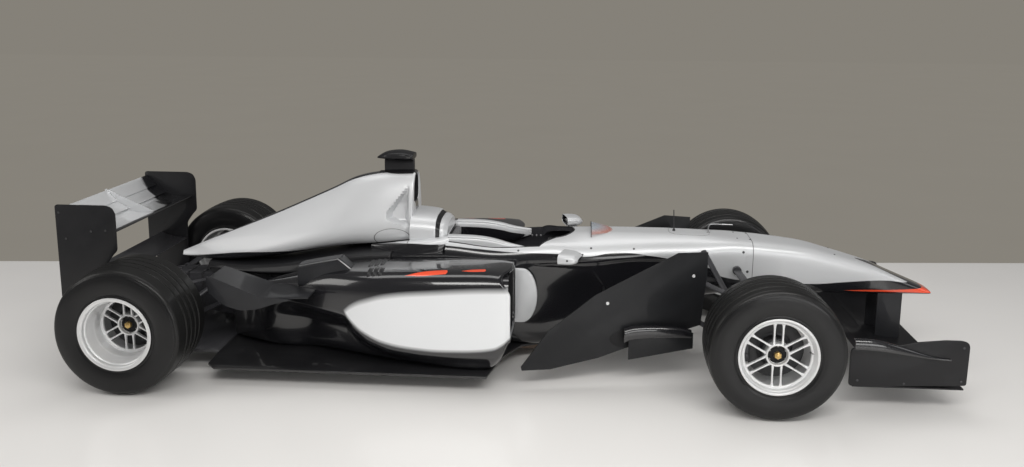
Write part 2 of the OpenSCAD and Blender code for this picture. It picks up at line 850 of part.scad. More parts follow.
rear_pivot_y = 590;
box_half = 120;
module rear_suspension()
    color("black") {
        wishbone(rear_x, rear_pivot_y, 1, [
            for (s = [190, -60])
                [rear_x + s, gearbox_half(rear_x + s + blade_w / 2) + seat_gap, 385]
        ]);
        wishbone(rear_x, rear_pivot_y, -1, [
            for (s = [220, -50])
                [rear_x + s, gearbox_half(rear_x + s + blade_w / 2) + seat_gap, 240]
        ]);
        blade([rear_x + 16, rear_pivot_y - 50, tyre_r - pivot_rise - 2],
            [rear_x + 250, gearbox_half(rear_x + 270) + 14, 400], 34, 18);
    }
function gearbox_half(x) =
    lerp(box_half, 70, (sx(engine_rear) - x) / (sx(engine_rear) - sx(-3300)));
module rear_suspension_left() rear_suspension();
module rear_suspension_right() mirror([0, 1, 0]) rear_suspension();

// An upright: two lugs with pins for the wishbones, a web and a round bearing housing.
module upright_body(axle, pivot, face, housing_r) {
    translate([axle, 0, tyre_r]) {
        for (up = [-1, 1])
            translate([0, pivot, up * pivot_rise]) {
                translate([0, 0, up > 0 ? -lug_h : 0])
                    cylinder(r = pad_r, h = lug_h);
                translate([0, 0, up > 0 ? 0 : -pad_h - seat_gap])
                    cylinder(r = pin_r, h = pad_h + seat_gap);
            }
        translate([-26, pivot - 8, -pivot_rise + 2])
            cube([52, 16, 2 * pivot_rise - 4]);
        translate([0, face, 0])
            rotate([90, 0, 0])
                cylinder(r = housing_r, h = face - pivot + 18);
    }
}

front_hub_y = half_w - front_dish - 60;   // inner face of the front wheel's hub
rear_hub_y = half_w - rear_dish - 50;     // inner face of the rear wheel's hub

module front_upright()
    color("gray") {
        upright_body(front_x, kingpin_y, front_hub_y - 6, 52);
        translate([front_x, front_hub_y - 7, tyre_r])
            rotate([-90, 0, 0])
                cylinder(r = spindle_r, h = 50);
    }
module front_upright_left() front_upright();
module front_upright_right() mirror([0, 1, 0]) front_upright();

module rear_upright()
    color("gray")
        difference() {
            upright_body(rear_x, rear_pivot_y, rear_hub_y - 6, 60);
            translate([rear_x, 0, tyre_r])
                rotate([-90, 0, 0])
                    cylinder(r = shaft_r + run_gap, h = half_w);
        }
module rear_upright_left() rear_upright();
module rear_upright_right() mirror([0, 1, 0]) rear_upright();

module driveshaft()
    color("gray")
        translate([rear_x, flange_y + seat_gap, tyre_r])
            rotate([-90, 0, 0])
                cylinder(r = shaft_r, h = rear_hub_y + 30 - flange_y - seat_gap);
module driveshaft_left() driveshaft();
module driveshaft_right() mirror([0, 1, 0]) driveshaft();

// Half section of a rim: [radius, distance in from the outer lip], open between its beads.
function rim_points(w) = [
    [lip_r, 0], [lip_r, 8], [lip_r - 5, 14], [lip_r - 5, 34], [barrel_r, 44], [barrel_r, w - 46],
    [lip_r - 5, w - 34], [lip_r - 5, w - 14], [lip_r, w - 8], [lip_r, w], [lip_r - 12, w],
    [bore_r + 8, w - 38], [bore_r, w - 54], [bore_r, 46], [bore_r + 8, 34], [lip_r - 12, 6],
    [lip_r - 8, 0]
];

// A wheel is drawn with its axis on Z and its outer lip on z = 0, and then laid on its axle.
module on_axle(axle)
    translate([axle, half_w, tyre_r])
        rotate([90, 0, 0])
            children();

module rim(w, dish, bore, bore_l) {
    hub_r = 42;
    difference() {
        union() {
            rotate_extrude()
                polygon(rim_points(w));
            translate([0, 0, dish])
                cylinder(r = hub_r, h = 50);
            for (i = [0 : spoke_pairs - 1], s = [-1, 1])
                rotate([0, 0, 90 + 360 / spoke_pairs * i])
                    translate([hub_r - 8, s * 15 - 5, dish + 6])
                        cube([bore_r + 3 - hub_r + 8, 10, 16]);
        }
        translate([0, 0, dish + 50 - bore_l])
            cylinder(r = bore, h = bore_l + 1);
    }
}

module front_rim()
    color("silver")
        on_axle(front_x)
            rim(front_tyre_w, front_dish + 10, spindle_r + run_gap, 44);
module front_rim_left() front_rim();
module front_rim_right() mirror([0, 1, 0]) front_rim();

module rear_rim()
    color("silver")
        on_axle(rear_x)
            rim(rear_tyre_w, rear_dish, shaft_r, 30);
module rear_rim_left() rear_rim();
module rear_rim_right() mirror([0, 1, 0]) rear_rim();

// Half section of a tyre of width w, with bulged side walls and a nearly flat tread.
crown = 5;
shoulder_r = 26;
groove_w = 14;
groove_d = 3;
module tyre_section(w) {
    side = concat(
        [[lip_r - 4.5, -w / 2 + 15]],
        [[lip_r + 1, -w / 2 + 9]],
        [for (a = [-60 : 15 : 60]) [(lip_r + tyre_r) / 2 - 3 + 62 * sin(a), -w / 2 + 20 - 20 * cos(a)]],
        [for (a = [20 : 20 : 80])
            [tyre_r - crown - shoulder_r + shoulder_r * sin(a), -w / 2 + 13 + shoulder_r - shoulder_r * cos(a)]]
    );
    tread = [for (i = [-2 : 2]) [tyre_r - crown * i * i / 4, i * (w / 2 - 44) / 2]];
    far = [for (i = [len(side) - 1 : -1 : 0]) [side[i][0], -side[i][1]]];
    difference() {
        polygon(concat(side, tread, far));
        for (i = [-1.5 : 1 : 1.5])
            translate([tyre_r - 5 - groove_d, i * 50 - groove_w / 2])
                square([groove_d + 10, groove_w]);
    }
}

module tyre(axle, w)
    color("black")
        on_axle(axle)
            translate([0, 0, w / 2])
                rotate_extrude()
                    tyre_section(w);
module front_tyre_left() tyre(front_x, front_tyre_w);
module front_tyre_right() mirror([0, 1, 0]) tyre(front_x, front_tyre_w);
module rear_tyre_left() tyre(rear_x, rear_tyre_w);
module rear_tyre_right() mirror([0, 1, 0]) tyre(rear_x, rear_tyre_w);

monocoque();
nose_cone();
front_wing();
front_wing_endplates();
front_wing_pylons();
engine_cover();
headrest_fairing();
camera_pod();
cockpit_collar();
windscreen();
seat();
steering_column();
steering_wheel();
mirrors();
sidepod_left();
sidepod_right();
chimneys();
flick_ups();
floor();
diffuser();
engine_block();
gearbox();
rear_wing();
rear_wing_lower();
rear_wing_endplates();
barge_boards();
turning_vanes();
front_suspension_left();
front_suspension_right();
rear_suspension_left();
rear_suspension_right();
front_upright_left();
front_upright_right();
rear_upright_left();
rear_upright_right();
driveshaft_left();
driveshaft_right();
front_rim_left();
front_rim_right();
rear_rim_left();
rear_rim_right();
front_tyre_left();
front_tyre_right();
rear_tyre_left();
rear_tyre_right();
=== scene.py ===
"""Finishes and fine pieces of an open wheel racing car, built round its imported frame."""

import json
import math

import bmesh
import bpy
from mathutils import Matrix, Vector
from mathutils.bvhtree import BVHTree


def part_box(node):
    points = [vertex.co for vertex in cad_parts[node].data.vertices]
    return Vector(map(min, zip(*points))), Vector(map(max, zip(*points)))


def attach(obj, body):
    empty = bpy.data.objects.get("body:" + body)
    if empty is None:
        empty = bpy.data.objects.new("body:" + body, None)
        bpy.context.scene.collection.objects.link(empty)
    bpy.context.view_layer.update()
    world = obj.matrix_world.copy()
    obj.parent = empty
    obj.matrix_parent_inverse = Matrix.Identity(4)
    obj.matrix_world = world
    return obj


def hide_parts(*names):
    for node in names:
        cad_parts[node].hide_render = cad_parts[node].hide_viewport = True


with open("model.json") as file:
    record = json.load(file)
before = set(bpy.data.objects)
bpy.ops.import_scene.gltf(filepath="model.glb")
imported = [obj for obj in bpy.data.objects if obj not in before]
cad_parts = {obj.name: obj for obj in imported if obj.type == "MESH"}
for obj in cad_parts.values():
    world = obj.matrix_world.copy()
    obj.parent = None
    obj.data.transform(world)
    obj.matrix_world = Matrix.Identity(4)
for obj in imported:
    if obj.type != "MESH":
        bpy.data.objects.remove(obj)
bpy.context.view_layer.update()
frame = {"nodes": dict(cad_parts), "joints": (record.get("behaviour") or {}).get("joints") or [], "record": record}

# ---- Places, in metres, from the frame ----

MM = 0.001
record = frame["record"]
home = {n: body for body, nodes in record["behaviour"]["bodies"].items() for n in nodes}
slots = {part["node"]: part["material_slot"] for part in record["subparts"]}
joints = {j["name"]: j for j in frame["joints"]}
front_axle, _, axle_z = joints["front_left_spin"]["pos_m"]
rear_axle = joints["rear_left_spin"]["pos_m"][0]
half_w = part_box("front_tyre_left")[1].y
tyre_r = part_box("front_tyre_left")[1].z - axle_z
pod_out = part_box("sidepod_left")[1].y
deck = 0.600
SKY = 0.9  # height above the skins that things are dropped on


def ahead(s):
    """Place along the car of a station s mm ahead of the front axle."""
    return front_axle + s * MM


def ease(value, low, high):
    """0 under low, 1 over high, and smooth between."""
    t = min(1, max(0, (value - low) / (high - low)))
    return t * t * (3 - 2 * t)


def times(colour, share, more=0.0):
    """A colour made lighter or darker."""
    return tuple(min(1, c * share + more) for c in colour)


# ---- Shader values ----


class Value:
    """A number that varies over a surface. Sums and products with it add their nodes."""

    def __init__(self, graph, socket):
        self.graph = graph
        self.socket = socket

    def join(self, operation, *terms, clamp=False):
        settings = {"operation": operation, "use_clamp": clamp}
        made = self.graph.node("ShaderNodeMath", settings, dict(enumerate(terms)))
        return Value(self.graph, made.outputs[0])

    def __add__(self, other):
        return self.join("ADD", self, other)

    def __sub__(self, other):
        return self.join("SUBTRACT", self, other)

    def __rsub__(self, other):
        return self.join("SUBTRACT", other, self)

    def __mul__(self, other):
        return self.join("MULTIPLY", self, other)

    def __truediv__(self, other):
        return self.join("DIVIDE", self, other)

    __radd__ = __add__
    __rmul__ = __mul__

    def size(self):
        return self.join("ABSOLUTE", self)

    def root(self):
        return self.join("SQRT", self)

    def wave(self):
        return self.join("SINE", self)

    def most(self, other):
        return self.join("MAXIMUM", self, other)

    def above(self, level=0.0, soft=0.0015):
        """1 where this is over level, 0 under it, with an edge as wide as soft."""
        return self.join("ADD", (self - level) / soft, 0.5, clamp=True)

    def below(self, level=0.0, soft=0.0015):
        return 1 - self.above(level, soft)


class Graph:
    """A node tree that starts empty."""

    def __init__(self, owner):
        owner.use_nodes = True
        self.tree = owner.node_tree
        self.tree.nodes.clear()

    def plug(self, socket, value):
        value = value.socket if isinstance(value, Value) else value
        if isinstance(value, bpy.types.NodeSocket):
            self.tree.links.new(value, socket)
        else:
            socket.default_value = (*value, 1) if socket.type == "RGBA" else value

    def node(self, kind, settings=None, sockets=None):
        """Any node: its type, its settings, and then the values or links of its sockets."""
        made = self.tree.nodes.new(kind)
        for key, value in (settings or {}).items():
            if key == "points":
                curve = made.mapping.curves[0]
                curve.points[0].location = value[0]
                curve.points[1].location = value[-1]
                for spot in value[1:-1]:
                    curve.points.new(*spot)
                made.mapping.update()
            else:
                setattr(made, key, value)
        for key, value in (sockets or {}).items():
            self.plug(made.inputs[key], value)
        return made

    def rays(self, *kinds):
        """1 for the kinds of ray named, and 0 for the others."""
        sockets = self.node("ShaderNodeLightPath").outputs
        share = Value(self, sockets[kinds[0]])
        for kind in kinds[1:]:
            share = share.most(sockets[kind])
        return share


class Finish(Graph):
    """A procedural material. x, y and z are the places of its points in the car's own frame."""

    def __init__(self, name, **fixed):
        self.material = bpy.data.materials.new(name)
        super().__init__(self.material)
        self.shader = self.node("ShaderNodeBsdfPrincipled")
        self.output = self.node("ShaderNodeOutputMaterial", sockets={0: self.shader.outputs[0]})
        self.place = self.node("ShaderNodeTexCoord").outputs["Object"]
        parts = self.node("ShaderNodeSeparateXYZ", sockets={0: self.place})
        self.x, self.y, self.z = (Value(self, socket) for socket in parts.outputs)
        self.set(**fixed)

    def set(self, **values):
        for socket, value in values.items():
            self.plug(self.shader.inputs[socket.replace("_", " ")], value)

    def dress(self, colour, rough, height, distance=0.001, strength=1.0, **varied):
        """Sets what every finish varies, with a bump from height, and gives the material."""
        sockets = {"Height": height, "Distance": distance, "Strength": strength}
        normal = self.node("ShaderNodeBump", sockets=sockets).outputs[0]
        self.set(Base_Color=colour, Roughness=rough, Normal=normal, **varied)
        return self.material

    def line(self, points):
        """A smooth graph along the car, through points of a station and a value in mm."""
        points = [(ahead(s), value * MM) for s, value in points]
        first, last = points[0][0], points[-1][0]
        low = min(p[1] for p in points)
        rise = max(p[1] for p in points) - low
        scaled = [((a - first) / (last - first), (b - low) / rise) for a, b in points]
        share = self.x.join("ADD", (self.x - first) / (last - first), 0, clamp=True)
        made = self.node("ShaderNodeFloatCurve", {"points": scaled}, {"Value": share})
        return Value(self, made.outputs[0]) * rise + low

    def mix(self, share, a, b):
        """Colour a where share is 0, and colour b where it is 1."""
        made = self.node("ShaderNodeMix", {"data_type": "RGBA"}, {"Factor": share, 6: a, 7: b})
        return made.outputs[2]

    def noise(self, scale, detail=2.0, stretch=(1, 1, 1)):
        vector = self.node("ShaderNodeMapping", sockets={0: self.place, "Scale": stretch}).outputs[0]
        sockets = {"Vector": vector, "Scale": scale, "Detail": detail}
        return Value(self, self.node("ShaderNodeTexNoise", sockets=sockets).outputs[0])


def either(a, b):
    """Mask of what is in a or in b."""
    return 1 - (1 - a) * (1 - b)


# ---- Kinds of finish ----

SILVER = (0.655, 0.667, 0.682)
BLACK = (0.009, 0.009, 0.011)
WHITE = (0.8, 0.815, 0.83)
ACCENT = (0.86, 0.085, 0.03)
SEAM = (0.02, 0.02, 0.022)
TOW = 0.004  # width of a tow of carbon twill


def lacquer(name, black=None, white=None, accent=None, seam=None):
    """Silver lacquer under clear coat. The others are masks, made from the finish."""
    f = Finish(name, Coat_Roughness=0.06)
    dark = black(f) if black else None
    flake = f.noise(2600, 1.0)
    drift = f.noise(3.2)
    colour = f.mix(flake * 0.35 + drift * 0.4, times(SILVER, 0.93), times(SILVER, 1.05))
    metal = flake * 0.05 + 0.3
    rough = flake * 0.08 + 0.36
    coat = drift * 0.05 + 0.3
    if white:
        pale = white(f)
        colour = f.mix(pale, colour, WHITE)
        metal = metal * (1 - pale * 0.45)
    if dark:
        colour = f.mix(dark, colour, BLACK)
        metal = metal * (1 - dark)
        rough = rough * (1 - dark) + dark * 0.2
        coat = either(coat, dark)
    if accent:
        red = accent(f)
        colour = f.mix(red, colour, ACCENT)
        metal = metal * (1 - red)
    height, distance, strength = f.noise(60), 0.00004, 1.0
    if seam:
        lines = seam(f)
        colour = f.mix(lines * 0.85, colour, SEAM)
        height, distance, strength = lines * -1.0 + height * 0.02, 0.0012, 0.8
    rough = rough + drift * 0.03
    return f.dress(colour, rough, height, distance, strength, Metallic=metal, Coat_Weight=coat)


def plain_black(name, level=BLACK, rough=0.2, coat=1.0, grain=700):
    """Black lacquer from gloss to satin, with a faint spray texture and dust."""
    glossy = coat > 0.5
    f = Finish(name, Coat_Weight=coat, Coat_Roughness=0.05, IOR=1.5 if glossy else 1.38)
    spray = f.noise(grain)
    dust = f.noise(9, 4.0)
    colour = f.mix(dust.above(0.62, 0.25) * 0.35, level, times(level, 1.7, 0.003))
    return f.dress(colour, spray * 0.06 + dust * 0.08 + rough, spray, 0.00005 if glossy else 0.0002)


def carbon(name, coat=0.8):
    """Carbon twill: tows that pass over two and under two."""
    f = Finish(name, Coat_Weight=coat, Coat_Roughness=0.06)
    u = f.x / TOW
    v = (f.y + f.z) / TOW
    warp = (u * math.pi).wave() * 0.5 + 0.5
    weft = (v * math.pi).wave() * 0.5 + 0.5
    step = ((u + v) * (math.pi / 2)).wave().above(0, 0.5)
    weave = warp * step + weft * (1 - step)
    wear = f.noise(7, 3.0)
    tint = (0.016, 0.016, 0.018)
    colour = f.mix(weave * 0.8 + wear * 0.2, tint, times(tint, 3.2))
    return f.dress(colour, (1 - weave) * 0.2 + wear * 0.1 + 0.26, weave, 0.00012)


def metal(name, colour, rough=0.3, brushed=False, metallic=0.92):
    """Bare metal, turned or brushed across the car, with faint stains."""
    f = Finish(name, Metallic=metallic)
    lines = f.noise(900, 3.0, (1, 0.04, 1)) if brushed else f.noise(350, 3.0)
    stain = f.noise(11, 3.0)
    rough = lines * 0.14 + stain * 0.1 + rough - 0.08
    return f.dress(f.mix(stain * 0.5, colour, times(colour, 0.8)), rough, lines, 0.00006)


def rubber(name, axle):
    """Tyre rubber: satin walls with fine moulded rings, and a scrubbed tread."""
    f = Finish(name, Coat_Weight=0.22, Coat_Roughness=0.14, IOR=1.36)
    dx = f.x - axle
    dz = f.z - axle_z
    radius = (dx * dx + dz * dz).root()
    tread = radius.above(tyre_r - 0.018, 0.006)
    rings = (radius * 2600).wave() * (1 - tread)
    grain = f.noise(420, 4.0)
    patch = f.noise(14, 3.0)
    wall = f.mix(patch, (0.005, 0.005, 0.0055), (0.009, 0.009, 0.0095))
    scrub = f.mix(grain * patch, (0.006, 0.006, 0.006), (0.014, 0.0137, 0.0135))
    rough = grain * 0.1 + tread * 0.2 + patch * 0.08 + 0.24
    height = rings * 0.12 + grain * (tread * 0.9 + 0.25)
    return f.dress(f.mix(tread, wall, scrub), rough, height, 0.0005)


def cloth(name, colour, thread):
    """Woven webbing or cover, with its threads along and across."""
    f = Finish(name, Sheen_Weight=0.25)
    weave = (f.x * (math.pi / thread)).wave() * ((f.y + f.z) * (math.pi / thread)).wave()
    fluff = f.noise(500, 3.0)
    share = weave * 0.2 + fluff * 0.5 + f.noise(25, 3.0) * 0.3
    colour = f.mix(share, colour, times(colour, 1.9))
    return f.dress(colour, fluff * 0.1 + 0.8, weave * 0.5 + fluff * 0.5, 0.0004)


def moulded(name, colour, rough=0.5):
    """Moulded plastic or painted fitting with a fine grain."""
    f = Finish(name)
    grain = f.noise(900)
    colour = f.mix(f.noise(20), times(colour, 0.9), times(colour, 1.1))
    return f.dress(colour, grain * 0.1 + rough - 0.05, grain, 0.0001)


def clear_screen():
    """Clear moulded screen with a warm tint low down and a thicker-looking rim."""
    f = Finish("clear_screen", Roughness=0.03, IOR=1.45)
    low = f.z.below(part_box("windscreen")[1].z - 0.028, 0.016)
    clear = f.mix(f.noise(30), (0.42, 0.47, 0.52), (0.34, 0.38, 0.43))
    edge = Value(f, f.node("ShaderNodeLayerWeight", sockets={"Blend": 0.4}).outputs["Facing"])
    f.set(Base_Color=f.mix(low, clear, (0.5, 0.2, 0.15)), Alpha=edge * 0.45 + 0.22)
    return f.material


def plank_wood():
    """Pressed beech plank, in thin brown layers, under the carbon floor."""
    f = Finish("floor_and_plank", Coat_Weight=0.8)
    weave = ((f.x / TOW + f.y / TOW) * math.pi).wave() * 0.5 + 0.5
    layers = f.noise(60, 3.0, (0.08, 1, 6))
    wood = f.z.below(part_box("floor")[1].z - 0.0125, 0.0008)
    twill = f.mix(weave, (0.006, 0.006, 0.007), (0.018, 0.018, 0.02))
    brown = f.mix(layers, (0.08, 0.045, 0.025), (0.16, 0.09, 0.045))
    height = weave * (1 - wood) + layers * wood
    return f.dress(f.mix(wood, twill, brown), layers * 0.15 + wood * 0.2 + 0.3, height, 0.0002)


def lamp_lens():
    """Red ribbed lens of the rear lamp."""
    f = Finish("lamp_lens", Coat_Weight=1.0, Emission_Strength=1.0)
    cells = (f.y * 900).wave() * (f.z * 900).wave()
    share = cells * 0.5 + 0.5
    glow = f.mix(share, (0.02, 0, 0), (0.08, 0.003, 0.002))
    red = f.mix(share, (0.25, 0.004, 0.004), (0.62, 0.02, 0.015))
    return f.dress(red, 0.15, cells, 0.0008, Emission_Color=glow)


def radiator_fins():
    """Dark aluminium core: fine upright fins between flat tubes."""
    f = Finish("radiator_fins", Metallic=0.7)
    fins = (f.y * 2400).wave() * 0.5 + 0.5
    tubes = (f.z * 500).wave().above(0.55, 0.2)
    colour = f.mix(either(tubes, fins * 0.4), (0.02, 0.02, 0.022), (0.16, 0.165, 0.17))
    return f.dress(colour, tubes * -0.15 + 0.5, fins * 0.6 + tubes, 0.0015)


# ---- Shapes ----


def between(a, b, c, d, t):
    """Share t of the way from b to c on a smooth line through four values or points."""
    square, cube = (2 * a - 5 * b + 4 * c - d) * t**2, (3 * b - a - 3 * c + d) * t**3
    return 0.5 * (2 * b + (c - a) * t + square + cube)


def four(rows, i):
    """The rows round the span that starts at row i."""
    return [rows[min(max(k, 0), len(rows) - 1)] for k in (i - 1, i, i + 1, i + 2)]


def span(rows, share):
    """The span that holds a share of the way along rows, and the share of it."""
    last = len(rows) - 1
    i = min(int(share * last), last - 1)
    return i, share * last - i


def round_point(station, turn, grow=0.0):
    """Point of a section, turn of the way round it from its left side.

    A station is its place along the car, half widths low and high, heights of bottom and top, how square
    it is, and where its middle is across the car, all in mm.
    """
    s, low, high, bottom, top, square, centre = station
    c, q = math.cos(turn * math.tau), math.sin(turn * math.tau)
    reach = (abs(c) ** square + abs(q) ** square) ** (-1 / square)
    u, v = reach * c, reach * q
    half = low + (high - low) * (v + 1) / 2 + grow
    z = (bottom + top) / 2 + v * ((top - bottom) / 2 + grow)
    return Vector((ahead(s), (centre + u * half) * MM, z * MM))


def loft_point(stations, turn, share, grow=0.0):
    """Point of a body, a share of the way along its stations."""
    i, t = span(stations, share)
    return round_point([between(*values, t) for values in zip(*four(stations, i))], turn, grow)


def grid(place, across, along):
    """A grid whose points go where place(u, v) says, with u and v from 0 to 1."""
    bm = bmesh.new()
    bmesh.ops.create_grid(bm, x_segments=across, y_segments=along, size=0.5)
    for vert in bm.verts:
        vert.co = place(vert.co.x + 0.5, vert.co.y + 0.5)
    bmesh.ops.remove_doubles(bm, verts=bm.verts, dist=2e-6)
    return bm


def outward(bm):
    bmesh.ops.recalc_face_normals(bm, faces=bm.faces)
    return bm


def closed(bm, index=0):
    """Closes the open ends of a shape, which take the finish with that index."""
    ends = bmesh.ops.holes_fill(bm, edges=[e for e in bm.edges if e.is_boundary], sides=0)
    for face in ends["faces"]:
        face.material_index = index
    return outward(bm)


def loft(stations, around=160, steps=12, grow=0.0, reshape=lambda point: point):
    """A body through its stations, closed at both ends."""

    def place(turn, share):
        return reshape(loft_point(stations, turn, share, grow))

    return closed(grid(place, around, steps * (len(stations) - 1)))


def lipped(outer, inner, bulge, around=160, steps=10, reshape=lambda point: point):
    """A body with a mouth: outer runs to the mouth, a round lip turns in, and inner is its duct."""
    skin = steps * (len(outer) - 1)
    lip = 14
    duct = steps * (len(inner) - 1)
    total = skin + lip + duct

    def place(turn, share):
        step = round(share * total)
        if step >= skin + lip:
            return loft_point(inner, turn, (step - skin - lip) / duct)
        if step <= skin:
            return reshape(loft_point(outer, turn, step / skin))
        a = math.pi * (step - skin) / lip
        point = round_point(outer[-1], turn).lerp(round_point(inner[0], turn), (1 - math.cos(a)) / 2)
        point.x += bulge * math.sin(a)
        return reshape(point)

    bm = grid(place, around, total)
    for i, face in enumerate(bm.faces):
        face.material_index = 1 if i // around >= skin + lip else 0
    return closed(bm, 1)


def lathe(profile, x, steps=160):
    """Turns a closed profile of (radius, y) points in mm round an axle."""
    bm = bmesh.new()
    verts = [bm.verts.new((x, y * MM, axle_z + r * MM)) for r, y in profile]
    edges = [bm.edges.new(pair) for pair in zip(verts, [*verts[1:], verts[0]])]
    bmesh.ops.spin(
        bm, geom=verts + edges, cent=(x, 0, axle_z), axis=(0, 1, 0), angle=math.tau, steps=steps,
        use_merge=True,
    )
    bmesh.ops.remove_doubles(bm, verts=bm.verts, dist=2e-6)
    return outward(bm)


def soften(bm, width, segments=2, sharp=25):
    """Rounds the sharp edges of a shape."""
    sharp = math.radians(sharp)
    edges = [e for e in bm.edges if len(e.link_faces) == 2 and e.calc_face_angle(0) > sharp]
    bmesh.ops.bevel(
        bm, geom=edges, offset=width, offset_type="OFFSET", segments=segments, profile=0.5,
        affect="EDGES", material=-1, clamp_overlap=True,
    )
    return bm


def body(stations, around, steps, edge, segments=3, reshape=lambda point: point):
    """A loft with its end edges rounded."""
    return soften(loft(stations, around, steps, reshape=reshape), edge, segments, 50)


def box(low, high, width=0.002, segments=3):
    """A block between two corners, with rounded edges."""
    bm = bmesh.new()
    bmesh.ops.create_cube(bm, size=1)
    low, high = Vector(low), Vector(high)
    for vert in bm.verts:
        vert.co = Vector(l + (h - l) * (c + 0.5) for l, h, c in zip(low, high, vert.co))
    return soften(bm, width, segments)


def plate(outline, thick, width=0.0015, at=0.0, lies=False):
    """A sheet cut to an outline, thick across the car from at, or upwards if it lies flat."""
    bm = bmesh.new()
    face = bm.faces.new([bm.verts.new((a, b, at) if lies else (a, at, b)) for a, b in outline])
    grown = bmesh.ops.extrude_face_region(bm, geom=[face])
    push = (0, 0, thick) if lies else (0, thick, 0)
    verts = [g for g in grown["geom"] if isinstance(g, bmesh.types.BMVert)]
    bmesh.ops.translate(bm, verts=verts, vec=push)
    return soften(outward(bm), width, 2)


def facing(way):
    """Turns Z to a direction."""
    return way.to_track_quat("Z", "Y").to_matrix().to_4x4()


def rod(start, end, radius, sides=24, tip=None):
    """A round bar from start to end, with chamfered ends. tip is its radius at the end."""
    start, end = Vector(start), Vector(end)
    tip = radius if tip is None else tip
    bm = bmesh.new()
    bmesh.ops.create_cone(
        bm, cap_ends=True, segments=sides, radius1=radius, radius2=tip, depth=(end - start).length
    )
    soften(bm, min(radius, tip) * 0.25, 2, 50)
    return moved(bm, Matrix.Translation((start + end) / 2) @ facing(end - start))


def from_mesh(mesh):
    bm = bmesh.new()
    bm.from_mesh(mesh)
    return bm


def result(obj):
    """The mesh of an object with its modifiers applied."""
    return bpy.data.meshes.new_from_object(obj.evaluated_get(bpy.context.evaluated_depsgraph_get()))


def tube(points, radius, smooth=True, sides=12, loop=False):
    """A round cord, bead or wire through points."""
    curve = bpy.data.curves.new("line", "CURVE")
    curve.dimensions = "3D"
    spline = curve.splines.new("POLY")
    points = [Vector(p) for p in points]
    if smooth:
        spots = [(k, t) for k in range(len(points) - 1) for t in (0, 0.25, 0.5, 0.75)]
        points = [between(*four(points, k), t) for k, t in spots] + [points[-1]]
    spline.points.add(len(points) - 1)
    for spot, point in zip(spline.points, points):
        spot.co = (*point, 1)
    spline.use_cyclic_u = loop
    curve.bevel_depth = radius
    curve.bevel_resolution = sides // 4
    curve.use_fill_caps = True
    obj = bpy.data.objects.new("line", curve)
    bpy.context.scene.collection.objects.link(obj)
    mesh = result(obj)
    bpy.data.objects.remove(obj)
    return outward(from_mesh(mesh))


def painted(bm, index):
    """Gives every face of a shape one of its piece's finishes."""
    for face in bm.faces:
        face.material_index = index
    return bm


def moved(bm, matrix):
    bmesh.ops.transform(bm, matrix=matrix, verts=bm.verts)
    return bm


def mirrored(bm):
    """The same shape on the car's other side."""
    twin = bm.copy()
    bmesh.ops.scale(twin, vec=(1, -1, 1), verts=twin.verts)
    bmesh.ops.reverse_faces(twin, faces=twin.faces)
    return twin


def both(*shapes):
    """Shapes with their twins on the other side."""
    return [*shapes, *(mirrored(s) for s in shapes)]


def turned_about(axis_point, axis, degrees):
    place = Matrix.Translation(axis_point)
    return place @ Matrix.Rotation(math.radians(degrees), 4, axis) @ place.inverted()


def solid(name, *shapes, finishes=()):
    """One object from shapes."""
    whole = bmesh.new()
    for shape in shapes:
        scratch = bpy.data.meshes.new("scratch")
        shape.to_mesh(scratch)
        whole.from_mesh(scratch)
        bpy.data.meshes.remove(scratch)
    mesh = bpy.data.meshes.new(name)
    whole.to_mesh(mesh)
    obj = bpy.data.objects.new(name, mesh)
    bpy.context.scene.collection.objects.link(obj)
    for finish in finishes:
        mesh.materials.append(finish)
    return obj


def carve(obj, *cuts):
    """Cuts shapes out of a piece. A cut face takes the finish that comes with its shape."""
    tools = [solid("tool", shape, finishes=[finish]) for shape, finish in cuts]
    for tool in tools:
        change = obj.modifiers.new("carve", "BOOLEAN")
        change.object = tool
        change.operation = "DIFFERENCE"
        change.solver = "EXACT"
        change.material_mode = "TRANSFER"
    mesh = result(obj)
    obj.modifiers.clear()
    obj.data = mesh
    for tool in tools:
        bpy.data.objects.remove(tool)
    return obj


def piece(name, shapes, *finishes, node=None, rides="chassis", slot="black_paint", sharp=30):
    """Puts a finished piece on its body. It stands for a node, or rides a body; its finish slot is not used."""
    obj = shapes
    if isinstance(shapes, bpy.types.Object):
        obj.name = name
    else:
        obj = solid(name, *shapes, finishes=finishes)
    obj.data.polygons.foreach_set("use_smooth", [True] * len(obj.data.polygons))
    obj.data.set_sharp_from_angle(angle=math.radians(sharp))
    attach(obj, home[node] if node else rides)
    slots[node] if node else slot
    if node:
        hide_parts(node)
    return obj


def redress(node, *extra, finishes, width=0.0012, segments=2, base=True):
    """Puts a node's own shape back with rounded edges, its finishes and extra parts."""
    shapes = list(extra)
    if base:
        bm = from_mesh(frame["nodes"][node].data)
        bmesh.ops.remove_doubles(bm, verts=bm.verts, dist=1e-5)
        bmesh.ops.dissolve_limit(bm, angle_limit=math.radians(0.6), verts=bm.verts, edges=bm.edges)
        shapes.insert(0, soften(painted(bm, 0), width, segments))
    return piece(f"{node}_skin", shapes, *finishes, node=node)


def surface(obj):
    """Where a piece's skin is, to lay other things on it."""
    return BVHTree.FromBMesh(from_mesh(obj.data))


def drop(tree, point, way=(0, 0, -1), lift=0.0):
    """Point on a skin found from point along way, and its normal."""
    spot, normal, _, _ = tree.ray_cast(Vector(point), Vector(way))
    if normal.dot(Vector(way)) > 0:
        normal.negate()
    return spot + normal * lift, normal


def top_of(tree, s, y=0.0):
    """Point on top of a skin at a station and a place across the car."""
    return drop(tree, (ahead(s), y, SKY))[0]


